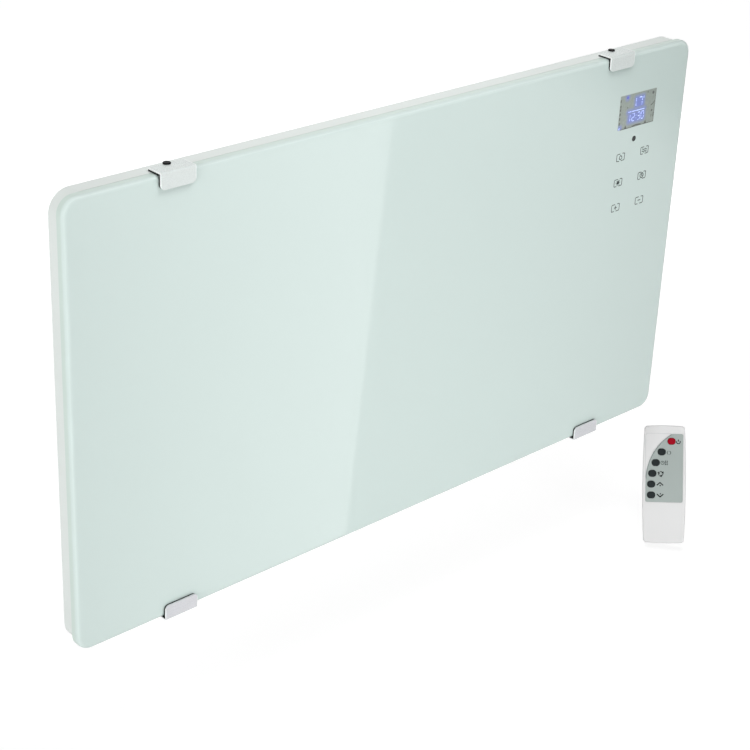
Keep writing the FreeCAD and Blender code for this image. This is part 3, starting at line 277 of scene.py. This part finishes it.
# Middle and half size of each lit patch, in millimetres from the display's centre
LIT_PATCHES = (((2.8, 8.6), (6.0, 4.6)), ((-0.8, -7.9), (12.2, 4.0)), ((-1.5, -1.0), (13.4, 0.3)),
               ((-17.7, 16.2), (0.5, 0.5)), ((-27.4, -17.0), (1.0, 0.6)))


def display_material():
    """The display's ground behind the glass, with a blue glow close about what is lit."""
    material, tree, shader = new_material("display_ground")
    coords = add(tree, "ShaderNodeTexCoord")
    nearest = None
    for middle, half in LIT_PATCHES:
        away = add(tree, "ShaderNodeVectorMath", operation="SUBTRACT")
        away.inputs[1].default_value = by_display(*middle)
        tree.links.new(coords.outputs["Object"], away.inputs[0])
        size = add(tree, "ShaderNodeVectorMath", operation="ABSOLUTE")
        tree.links.new(away.outputs["Vector"], size.inputs[0])
        beyond = add(tree, "ShaderNodeVectorMath", operation="SUBTRACT")
        beyond.inputs[1].default_value = (half[0] * MM, 1.0, half[1] * MM)
        tree.links.new(size.outputs["Vector"], beyond.inputs[0])
        outside = add(tree, "ShaderNodeVectorMath", operation="MAXIMUM")
        outside.inputs[1].default_value = (0, 0, 0)
        tree.links.new(beyond.outputs["Vector"], outside.inputs[0])
        length = add(tree, "ShaderNodeVectorMath", operation="LENGTH")
        tree.links.new(outside.outputs["Vector"], length.inputs[0])
        if nearest is None:
            nearest = length.outputs["Value"]
        else:
            least = add(tree, "ShaderNodeMath", operation="MINIMUM")
            tree.links.new(nearest, least.inputs[0])
            tree.links.new(length.outputs["Value"], least.inputs[1])
            nearest = least.outputs["Value"]
    glow = ramp(tree, spread(tree, nearest, 0.0, 1.0, 0.0, GLOW_REACH),
                [(0.0, linear(138, 152, 220)), (0.3, linear(148, 160, 202)), (1.0, linear(160, 170, 163))])
    grain = ramp(tree, object_noise(tree, 420.0, 2.0), [(0.3, grey(0.9)), (0.7, WHITE)])
    tree.links.new(multiply(tree, glow, grain), shader.inputs["Base Color"])
    shader.inputs["Roughness"].default_value = 0.06
    shader.inputs["IOR"].default_value = GLASS_IOR
    return material


def lit_material(name, ground, colour, strength):
    """A lit display segment whose light wanders a little in strength."""
    material, tree, shader = new_material(name)
    noise = object_noise(tree, 500.0, 1.0)
    bright = [min(channel * 1.2, 1.0) for channel in colour[:3]] + [1.0]
    dim = [channel * 0.6 for channel in colour[:3]] + [1.0]
    tree.links.new(ramp(tree, noise, [(0.3, ground), (0.7, colour)]), shader.inputs["Base Color"])
    tree.links.new(ramp(tree, noise, [(0.35, dim), (0.6, bright)]), shader.inputs["Emission Color"])
    shader.inputs["Emission Strength"].default_value = strength
    shader.inputs["Roughness"].default_value = 0.1
    return material


glass = glass_material()
white_coat = finish_material("white_powder_coat", linear(218, 224, 221),
                             rough=0.42, spot=0.012, grain=1600.0, relief=0.2)
clip_paint = clip_material("clip_paint", linear(213, 220, 218))
# Painted shade: the bottom clips get a darker, bluer copy of the clip paint, as they are lit less
shaded_clip_paint = clip_material("shaded_clip_paint", linear(207, 208, 212))
black_rubber = finish_material("black_rubber", linear(18, 19, 19),
                               rough=0.7, spot=0.15, grain=1200.0, relief=0.3, gloss=0.15)
black_steel = finish_material("black_steel", linear(11, 11, 12),
                              rough=0.4, spot=0.2, grain=1400.0, relief=0.2, gloss=0.07)
zinc = finish_material("zinc_steel", linear(186, 190, 194),
                       rough=0.33, spot=0.06, grain=700.0, relief=0.12, metallic=1.0, stretch=(0.05, 1, 1))
brass = finish_material("brass", linear(205, 176, 105), rough=0.3, spot=0.08, relief=0.1, metallic=1.0)
seal = finish_material("pale_rubber", linear(214, 214, 211), rough=0.65, relief=0.3)
insulation = finish_material("felted_board", linear(224, 216, 192),
                             rough=0.9, spot=0.1, grain=500.0, relief=0.7, depth=0.0004, blotch=60.0)
board = finish_material("solder_mask", linear(38, 112, 66),
                        rough=0.35, spot=0.12, grain=800.0, relief=0.2, depth=0.00006, blotch=120.0)
nylon = finish_material("white_nylon", linear(224, 224, 219), rough=0.5, spot=0.03)
foam = finish_material("conductive_foam", linear(150, 152, 155),
                       rough=0.85, spot=0.12, grain=1500.0, relief=0.8, depth=0.0002, blotch=300.0)
black_plastic = finish_material("black_plastic", linear(30, 30, 32),
                                rough=0.45, spot=0.12, grain=1500.0, relief=0.3)
ribbon = finish_material("ribbon_cable", linear(176, 176, 176),
                         rough=0.5, spot=0.1, relief=0.3, stretch=(1, 1, 6))
relay_blue = finish_material("relay_case", linear(52, 86, 170), rough=0.35, spot=0.06)
block_white = finish_material("terminal_plastic", linear(222, 219, 208), rough=0.5)
lead_red = finish_material("silicone_lead", linear(168, 40, 36), rough=0.55, spot=0.1)
rocker = finish_material("rocker_plastic", linear(28, 28, 29), rough=0.28, spot=0.1, grain=1500.0)
remote_white = finish_material("handset_white", linear(217, 217, 217),
                               rough=0.38, spot=0.012, grain=1800.0, relief=0.2)
remote_grey = finish_material("handset_grey", linear(160, 169, 166), rough=0.36, spot=0.03, grain=1500.0)
button_dark = finish_material("button_dark", linear(38, 43, 44),
                              rough=0.55, spot=0.12, grain=1500.0, relief=0.3, gloss=0.12)
button_red = finish_material("button_red", linear(156, 8, 30),
                             rough=0.5, spot=0.1, grain=1500.0, relief=0.25, gloss=0.12)
key_rubber = finish_material("key_rubber", linear(120, 120, 120), rough=0.65, spot=0.08)
led_lens = finish_material("diode_lens", linear(64, 52, 66), rough=0.1, spot=0.1, grain=400.0, relief=0.02)
cell_wrap = finish_material("cell_wrap", linear(96, 104, 112),
                            rough=0.3, spot=0.1, grain=600.0, relief=0.1, metallic=0.5)
nickel = finish_material("nickel_plate", linear(205, 206, 208),
                         rough=0.22, spot=0.05, relief=0.1, metallic=1.0)
print_dark = finish_material("dark_print", linear(44, 54, 52), rough=0.4, spot=0.1, relief=0.1, gloss=0.25)
print_mark = finish_material("display_mark", linear(90, 95, 92), rough=0.4, spot=0.12, relief=0.1)
print_black = finish_material("black_print", linear(14, 16, 17), rough=0.5, spot=0.15, relief=0.1, gloss=0.1)
print_grey = finish_material("grey_print", linear(78, 86, 84), rough=0.5, spot=0.1, relief=0.1, gloss=0.1)
print_line = finish_material("step_line", linear(196, 198, 198), rough=0.4, spot=0.03, relief=0.1)
# Painted shade: a grey for the shade that the plate's step casts on the recess floor
step_painted_shade = finish_material("painted_step_shade", linear(128, 136, 134), rough=0.4, spot=0.05, relief=0.1)
eye_black = finish_material("eye_window", linear(40, 44, 44), rough=0.08, spot=0.2, grain=400.0, relief=0.02)
lit_white = lit_material("lit_segment", linear(112, 126, 192), linear(190, 206, 252), 0.6)
lit_blue = lit_material("lit_blue", linear(96, 100, 170), linear(116, 122, 230), 0.25)
display_ground = display_material()

LOOKS = {
    glass: ["glass_panel"],
    seal: ["glass_seal"],
    film_material(): ["heating_film"],
    brass: ["film_terminals"],
    insulation: ["insulation_board"],
    white_coat: ["casing_tray", "control_housing", "spacer_posts"],
    clip_paint: ["clip_top_left", "clip_top_right"],
    shaded_clip_paint: ["clip_bottom_left", "clip_bottom_right"],
    black_rubber: ["clip_pads", "spacer_tips"],
    black_steel: ["clip_screws"],
    zinc: ["clip_nuts", "housing_screws", "hanger_rail", "hanger_rivets", "wall_rail"],
    display_ground: ["lcd_module"],
    board: ["display_board", "power_board", "remote_board"],
    nylon: ["display_standoffs", "board_standoffs"],
    foam: ["touch_pads"],
    black_plastic: ["ir_receiver", "buzzer", "switch_frame", "cable_gland", "gland_nut", "room_sensor",
                    "smoothing_capacitor", "supply_block", "thermal_cutout"],
    ribbon: ["display_ribbon"],
    relay_blue: ["relays"],
    block_white: ["terminal_block"],
    lead_red: ["heater_leads"],
    rocker: ["power_rocker"],
    remote_white: ["remote_front_shell", "remote_rear_shell", "remote_battery_door"],
    remote_grey: ["remote_face_plate"],
    button_dark: ["remote_button_down", "remote_button_up", "remote_button_cycle", "remote_button_program",
                  "remote_button_mode"],
    button_red: ["remote_button_power"],
    key_rubber: ["remote_key_sheet"],
    led_lens: ["remote_led"],
    cell_wrap: ["remote_cells"],
    nickel: ["remote_contacts"],
}
for look, names in LOOKS.items():
    for name in names:
        nodes[name].data.materials.clear()
        nodes[name].data.materials.append(look)


# Flat prints, drawn as shapes in millimetres

def stroke(points, width, closed=False):
    """Quadrilaterals of one width along a line of points, with mitred corners."""
    line = [Vector(point) for point in points]
    count = len(line)
    sides = []
    for i, here in enumerate(line):
        before = line[i - 1] if closed or i else None
        after = line[(i + 1) % count] if closed or i < count - 1 else None
        ways = [(b - a).normalized() for a, b in ((before, here), (here, after))
                if a is not None and b is not None]
        way = sum(ways, Vector((0, 0))).normalized()
        normal = Vector((-way.y, way.x))
        square = Vector((-ways[0].y, ways[0].x))
        reach = width / 2 / max(normal.dot(square), MITRE_LIMIT)
        sides.append((here + normal * reach, here - normal * reach))
    pairs = zip(sides, sides[1:] + sides[:1] if closed else sides[1:])
    return [[here[1], after[1], after[0], here[0]] for here, after in pairs]


def arc(centre, radius, start, end, steps=14):
    """Points along a circle, between two angles in degrees."""
    spots = [math.radians(start + (end - start) * i / steps) for i in range(steps + 1)]
    return [(centre[0] + radius * math.cos(a), centre[1] + radius * math.sin(a)) for a in spots]


def disc(centre, radius, steps=20):
    """A round shape."""
    return [Vector(point) for point in arc(centre, radius, 0, 360, steps)[:-1]]


def moved(shapes, x, z):
    """Shapes shifted by x, z."""
    return [[Vector((x, z)) + Vector(point) for point in shape] for shape in shapes]


def as_object(name, form, material):
    """An object in the scene with one material, from a form that is used up."""
    mesh = bpy.data.meshes.new(name)
    form.to_mesh(mesh)
    form.free()
    mesh.materials.append(material)
    thing = bpy.data.objects.new(name, mesh)
    scene.collection.objects.link(thing)
    return thing


def printed(name, shapes, place, material, body):
    """A thin printed piece: flat shapes laid on a surface by place(x, z)."""
    form = bmesh.new()
    for shape in shapes:
        form.faces.new([form.verts.new(place(point[0], point[1])) for point in shape])
    piece = as_object(name, form, material)
    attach(piece, body)


# The ends of a figure's segments, in widths and half heights, and the segments of each figure in use
SEGMENTS = {
    "a": ((0, 2), (1, 2)), "b": ((1, 2), (1, 1)), "c": ((1, 1), (1, 0)), "d": ((0, 0), (1, 0)),
    "e": ((0, 1), (0, 0)), "f": ((0, 2), (0, 1)), "g": ((0, 1), (1, 1)),
}
DIGITS = {"0": "abcdef", "1": "bc", "2": "abged", "3": "abgcd", "7": "abc"}


def digit(figure, x, z, width, height, thick):
    """A seven-segment figure with its lower left corner at x, z."""
    shapes = []
    for segment in DIGITS[figure]:
        ends = [Vector((x + a * width, z + b * height / 2)) for a, b in SEGMENTS[segment]]
        way = (ends[1] - ends[0]).normalized()
        shapes += stroke([ends[0] + way * thick * SEGMENT_FREE, ends[1] - way * thick * SEGMENT_FREE], thick)
    return shapes


def key_frame():
    """Two brackets about a key's sign."""
    left = [(-1.0, 4.0), (-5.5, 4.0), (-6.4, 3.2), (-6.4, -3.2), (-5.5, -4.0), (-2.0, -4.0)]
    right = [(2.6, 4.0), (5.5, 4.0), (6.4, 3.2), (6.4, -3.2), (5.5, -4.0), (1.0, -4.0)]
    return stroke(left, 0.85) + stroke(right, 0.85)


def ray(angle, start, end):
    """The two ends of a ray from the middle, with the angle in radians."""
    return [(reach * math.cos(angle), reach * math.sin(angle)) for reach in (start, end)]


# The touch keys' signs by the keys' middles: drop, waves, sun, clock, plus and minus
KEY_SIGNS = {
    (-20.0, -50.6): stroke(arc((0, -0.5), 2.1, 130, 410, 16) + [(0, 2.2)], 0.9, True),
    (20.0, -50.6): [shape for rise in (-1.4, 1.2) for shape in stroke(
        [(0.5 * k - 4, rise + 0.8 * math.sin(k * math.pi / 4)) for k in range(17)], 0.8)],
    (-20.0, -79.9): [disc((0, 0), 2.1)] + [shape for k in range(8) for shape in stroke(
        ray(k * math.pi / 4, 2.5, 3.6), 0.95)],
    (20.0, -79.9): stroke(arc((0, 0), 2.7, 0, 360, 24)[:-1], 0.95, True)
    + stroke([(0, 1.9), (0, 0), (1.5, -0.8)], 1.1),
    (-20.0, -109.2): stroke([(-2.3, 0), (2.3, 0)], 0.95) + stroke([(0, -2.3), (0, 2.3)], 0.95),
    (20.0, -109.2): stroke([(-2.3, 0), (2.3, 0)], 0.95),
}


def glass_print(lift):
    """Where a print on the glass lies."""
    return lambda x, z: by_display(x, z, lift)


def draw_glass():
    """The prints on the glass: key signs, eye, and the display's window, figures, lamp and marks."""
    signs = []
    for (x, z), sign in KEY_SIGNS.items():
        signs += moved(key_frame() + sign, x, z)
    printed("touch_key_signs", signs, glass_print(SIGN_LIFT), print_dark, "heater")
    eye = [disc((-0.5, -33.1), 3.2)]
    printed("eye_window", eye, glass_print(SIGN_LIFT), eye_black, "heater")
    ground = [[Vector(spot) for spot in ((-29.9, -18.6), (29.5, -19.2), (29.7, 18.8), (-29.7, 19.6))]]
    printed("display_window", ground, glass_print(WINDOW_LIFT), display_ground, "heater")
    figures = digit("1", -8.6, 4.0, 5.6, 9.6, 1.0) + digit("7", 1.4, 3.6, 5.6, 9.6, 1.0)
    figures += stroke(arc((9.6, 12.4), 0.9, 0, 360, 16)[:-1], 0.5, True)
    for figure, x in zip("1230", (-15.2, -7.6, 1.4, 7.4)):
        figures += digit(figure, x, -11.9, 4.2, 8.2, 0.9)
    figures += [disc((-0.7, -6.4), 0.5), disc((-0.7, -9.6), 0.5)]
    figures += stroke([(-15.1, -0.7), (12.2, -1.2)], 1.0)
    figures += [disc((-27.6, -17.2), 1.2)]
    printed("display_figures", figures, glass_print(FIGURE_LIFT), lit_white, "heater")
    lamp = [disc((-17.7, 16.2), 1.5)]
    printed("display_lamp", lamp, glass_print(FIGURE_LIFT), lit_blue, "heater")
    marks = []
    left_marks = ((-29.2, 14.1), (-28.8, 7.8), (-29.0, 4.0), (-28.8, -0.9), (-28.8, -5.9), (-28.6, -11.6))
    for x, z in left_marks:
        marks += stroke([(x + 0.4, z - 1.5), (x + 0.6, z + 1.5)], 1.8)
    for x in (-17.7, 15.4):
        marks += [[Vector((x - 2.1, -18.8)), Vector((x + 2.1, -18.8)), Vector((x + 0.4, -14.9))]]
    marks += stroke([(-6.6, -18.2), (0.5, -17.4), (8.3, -18.0)], 1.2)
    marks += [disc((24.8, 14.5), 1.8, 9), disc((24.9, -5.7), 1.3, 7),
              disc((15.6, 16.6), 0.9, 7), disc((-16.6, 4.8), 0.9, 7)]
    marks += stroke([(22.4, 0.6), (25.6, 1.6), (28.6, 4.4)], 1.1)
    marks += stroke([(27.6, -13.4), (28.4, -8.6)], 1.0) + stroke([(24.4, -13.0), (24.8, -9.8)], 0.7)
    marks += stroke([(-26.0, -18.7), (29.1, -19.0), (29.4, 18.5)], 0.7)
    printed("display_marks", marks, glass_print(MARK_LIFT), print_mark, "heater")


def remote_print(x, z):
    """Where a print on the handset's face lies."""
    return on_remote(x, z, REMOTE_FACE)


def draw_remote():
    """The prints on the handset: the buttons' signs and the recess line, and a painted shade along the
    plate's edge.
    """
    signs = stroke(arc((0, 0), 2.2, 150, 390, 16), 1.1)
    signs = moved(signs + stroke([(0, 0.4), (0, 2.9)], 1.2), 16.6, 123.7)
    brackets = [shape for side in (-1, 1) for shape in stroke(
        [(side * 0.9, 2.4), (side * 2.3, 0), (side * 0.9, -2.4)], 0.8)]
    keypad = stroke(arc((-2.0, 0), 2.0, 0, 360, 18)[:-1], 0.75, True)
    keypad += stroke([(-2.0, 1.2), (-2.0, 0), (-1.0, 0)], 0.65)
    for column in (1.5, 3.6):
        for level in (-2.0, 0, 2.0):
            keypad += [disc((column, level), 0.85, 8)]
    pale_signs = moved(brackets, 5.4, 110.2) + moved(keypad, -0.2, 97.9)
    turn = []
    for angle in (40, 165, 285):
        turn += stroke(arc((0, 0), 2.6, angle, angle + 70), 0.9)
        way = math.radians(angle)
        out = Vector((math.cos(way), math.sin(way)))
        ahead = Vector((math.sin(way), -math.cos(way)))
        turn += [[out * 0.9 - ahead * 0.4, out * 2.7 + ahead * 2.4, out * 4.4 - ahead * 0.4]]
    signs += moved(turn, -4.2, 84.5)
    chevron = stroke([(-3.9, -1.4), (0, 2.0), (3.9, -1.4)], 1.35)
    signs += moved(chevron + [disc((0.3, -1.7), 0.85, 10)], -5.0, 71.7)
    turned = [[(x, -z) for x, z in reversed(shape)] for shape in chevron]
    signs += moved(turned + [disc((0.3, 1.7), 0.85, 10)], -4.7, 58.3)
    recess = stroke([(8.2, 133.75), (-20.9, 133.75), (-22.85, 131.8), (-22.85, 80.0)], 0.5)
    printed("handset_recess_line", recess, remote_print, print_line, "remote")
    # Painted shade: a grey stroke along the plate's curved edge
    shade = stroke(arc((44.09, 77.0), 65.9, 122.8, 179, 24), 0.9)
    printed("handset_plate_painted_shade", shade, remote_print, step_painted_shade, "remote")
    printed("handset_signs", signs, remote_print, print_black, "remote")
    printed("handset_keypad_sign", pale_signs, remote_print, print_grey, "remote")


def pad_shade_rims():
    """Black rubber round each clip's lip, filling the gap to the glass: partly the lining, partly painted
    shade.
    """
    form = bmesh.new()
    for name in ("clip_top_left", "clip_top_right", "clip_bottom_left", "clip_bottom_right"):
        low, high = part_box(name)
        end, way = (low.z, 1) if "top" in name else (high.z, -1)
        bend, inset = RIM_BEND * MM, RIM_INSET * MM
        angles = [k * math.pi / 12 for k in range(7)]
        corner = [(bend * (1 - math.cos(angle)), bend * (1 - math.sin(angle))) for angle in angles]
        half = (high.x - low.x) / 2 - inset
        left = [(-half, RIM_SIDE * MM)] + [(-half + x, z) for x, z in corner]
        line = left + [(-x, z) for x, z in reversed(left)]
        middle = (low.x + high.x) / 2
        rows = []
        for out in (GLASS_OUT + RIM_NEAR, GLASS_OUT + RIM_FAR):
            points = [(middle + x, -out * MM, end + way * (z + inset)) for x, z in line]
            rows.append([form.verts.new(point) for point in points])
        for i in range(len(line) - 1):
            form.faces.new([rows[0][i], rows[0][i + 1], rows[1][i + 1], rows[1][i]])
    # The rims are partly the real lining and partly a dark piece standing in for the gap's shade
    rims = as_object("clip_pad_shade_rims", form, black_rubber)
    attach(rims, "heater")


draw_glass()
draw_remote()
pad_shade_rims()


# Studio: floor, light and camera

def ray_switch(tree):
    """1 for what the camera sees directly, in gloss or through glass, and 0 for light that bounces on."""
    path = add(tree, "ShaderNodeLightPath")
    total = path.outputs["Is Camera Ray"]
    for name in ("Is Glossy Ray", "Is Transmission Ray"):
        node = add(tree, "ShaderNodeMath", operation="MAXIMUM")
        tree.links.new(total, node.inputs[0])
        tree.links.new(path.outputs[name], node.inputs[1])
        total = node.outputs["Value"]
    return total


def lay_floor():
    """A white floor that keeps the shadows: its glow and its shading add up to white in full light."""
    material, tree, output = bare_material("white_floor")
    bounce = add(tree, "ShaderNodeBsdfDiffuse")
    bounce.inputs["Color"].default_value = grey(FLOOR_BOUNCE)
    glow = add(tree, "ShaderNodeEmission")
    coords = add(tree, "ShaderNodeTexCoord")
    reach = add(tree, "ShaderNodeVectorMath", operation="LENGTH")
    tree.links.new(coords.outputs["Object"], reach.inputs[0])
    level = spread(tree, reach.outputs["Value"], FLOOR_GLOW_NEAR, FLOOR_GLOW_FAR,
                   FLOOR_FADE_FROM, FLOOR_FADE_TO)
    tree.links.new(level, glow.inputs["Strength"])
    shade = add(tree, "ShaderNodeBsdfDiffuse")
    shade.inputs["Color"].default_value = grey(FLOOR_SHADE)
    both = add(tree, "ShaderNodeAddShader")
    mix = add(tree, "ShaderNodeMixShader")
    tree.links.new(glow.outputs["Emission"], both.inputs[0])
    tree.links.new(shade.outputs["BSDF"], both.inputs[1])
    tree.links.new(ray_switch(tree), mix.inputs["Fac"])
    tree.links.new(bounce.outputs["BSDF"], mix.inputs[1])
    tree.links.new(both.outputs["Shader"], mix.inputs[2])
    tree.links.new(mix.outputs["Shader"], output.inputs["Surface"])
    form = bmesh.new()
    bmesh.ops.create_circle(form, cap_ends=True, radius=FLOOR_RADIUS, segments=64)
    floor = as_object("floor", form, material)
    floor.location = (0, 0, FLOOR_Z)


def light_world():
    """A world that is white to the eye and gives little light."""
    world = bpy.data.worlds.new("studio")
    scene.world = world
    world.use_nodes = True
    tree = world.node_tree
    background = tree.nodes["Background"]
    background.inputs["Color"].default_value = WHITE
    level = spread(tree, ray_switch(tree), WORLD_BOUNCE, WORLD_SEEN, 0.0, 1.0)
    tree.links.new(level, background.inputs["Strength"])


def show_in_gloss(card):
    """Sets a card just above the floor, where only gloss shows it."""
    card.location = (0, 0, FLOOR_Z + CARD_LIFT)
    for rays in ("camera", "diffuse", "transmission", "volume_scatter", "shadow"):
        setattr(card, f"visible_{rays}", False)


def set_levels(card, shares):
    """Gives each point of a card its share, which the card's material reads as its level."""
    level = card.data.color_attributes.new("level", "FLOAT_COLOR", "POINT")
    for point, share in zip(level.data, shares):
        point.color = grey(share)


def lay_reflector():
    """A pale card on the floor that shows only in gloss: it brightens towards one straight edge."""
    material, tree, output = bare_material("reflector_card")
    glow = add(tree, "ShaderNodeEmission")
    share = add(tree, "ShaderNodeAttribute", attribute_name="level")
    strength = spread(tree, share.outputs["Fac"], CARD_LOW, CARD_HIGH, 0.0, 1.0)
    tree.links.new(strength, glow.inputs["Strength"])
    tree.links.new(glow.outputs["Emission"], output.inputs["Surface"])
    near = [Vector((-0.2646, -0.2764, 0)), Vector((0.1288, -0.2764, 0))]
    far = [Vector((0.4946, -1.4298, 0)), Vector((1.2951, -1.4344, 0))]
    across, along = 24, 12
    first_step, steps_span = -0.04, 1.1
    form = bmesh.new()
    rows, shares = [], []
    for j in range(along + 1):
        step = first_step + steps_span * j / along
        left, right = near[0].lerp(far[0], step), near[1].lerp(far[1], step)
        rows.append([form.verts.new(left.lerp(right, i / across)) for i in range(across + 1)])
        row = j / along
        curve, peak = 0.85 - 0.3 * row, 0.88 + 0.34 * row
        shares += [(i / across) ** curve * peak for i in range(across + 1)]
    for low, high in zip(rows, rows[1:]):
        for i in range(across):
            form.faces.new([low[i], low[i + 1], high[i + 1], high[i]])
    card = as_object("reflector", form, material)
    set_levels(card, shares)
    show_in_gloss(card)


def lay_dark_card():
    """A dark card on the floor, far to the right, that shows only in gloss: its left side fades out."""
    material, tree, output = bare_material("dark_card")
    glow = add(tree, "ShaderNodeEmission")
    glow.inputs["Strength"].default_value = DARK_LEVEL
    clear = add(tree, "ShaderNodeBsdfTransparent")
    share = add(tree, "ShaderNodeAttribute", attribute_name="level")
    mix = add(tree, "ShaderNodeMixShader")
    tree.links.new(share.outputs["Fac"], mix.inputs["Fac"])
    tree.links.new(clear.outputs["BSDF"], mix.inputs[1])
    tree.links.new(glow.outputs["Emission"], mix.inputs[2])
    tree.links.new(mix.outputs["Shader"], output.inputs["Surface"])
    columns, ends, shares = (1.2, 1.42, 2.4), (-2.6, -0.5), (0, 1, 1)
    form = bmesh.new()
    low, high = [[form.verts.new((x - DARK_SLANT * y, y, 0)) for x in columns] for y in ends]
    for i in range(len(columns) - 1):
        form.faces.new([low[i], low[i + 1], high[i + 1], high[i]])
    card = as_object("dark_card", form, material)
    set_levels(card, shares * len(ends))
    show_in_gloss(card)


def soft_box(name, place, aim, size, energy, glossy=True):
    """A rectangular lamp that the camera doesn't see."""
    lamp = bpy.data.lights.new(name, "AREA")
    lamp.shape = "RECTANGLE"
    lamp.size, lamp.size_y = size
    lamp.energy = energy
    box = bpy.data.objects.new(name, lamp)
    box.location = place
    box.rotation_euler = (Vector(aim) - Vector(place)).to_track_quat("-Z", "Y").to_euler()
    scene.collection.objects.link(box)
    box.visible_camera = False
    box.visible_glossy = glossy


def set_camera():
    """The photo's view."""
    lens = bpy.data.cameras.new("photo_camera")
    lens.sensor_width = CAMERA_SENSOR
    lens.lens = CAMERA_LENS
    lens.clip_start = CAMERA_NEAR
    lens.clip_end = CAMERA_FAR
    camera = bpy.data.objects.new("photo_camera", lens)
    yaw = Matrix.Rotation(math.radians(CAMERA_YAW), 4, "Z")
    pitch = Matrix.Rotation(math.radians(90 - CAMERA_DOWN), 4, "X")
    roll = Matrix.Rotation(math.radians(CAMERA_ROLL), 4, "Z")
    camera.matrix_world = Matrix.Translation(CAMERA_PLACE) @ yaw @ pitch @ roll
    scene.collection.objects.link(camera)
    scene.camera = camera


lay_floor()
light_world()
lay_reflector()
lay_dark_card()
soft_box("front_box", place=(0.05, -1.25, -0.3), aim=(0.05, 0, -0.3),
         size=(0.9, 0.38), energy=8.6, glossy=False)
soft_box("left_box", place=(-1.8, -0.3, 0.2), aim=(-0.4, 0, -0.1),
         size=(1.2, 1.2), energy=19.5, glossy=False)
soft_box("top_near_box", place=(-0.05, -0.3, 0.95), aim=(-0.05, 0, 0),
         size=(0.6, 0.5), energy=4.3, glossy=False)
soft_box("top_box", place=(-0.05, -0.6, 1.05), aim=(-0.1, 0, 0),
         size=(0.7, 0.5), energy=3.2)
soft_box("back_box", place=(1.1, 1.4, 0.6), aim=(0.1, 0, -0.1),
         size=(1.2, 1.2), energy=20, glossy=False)
set_camera()
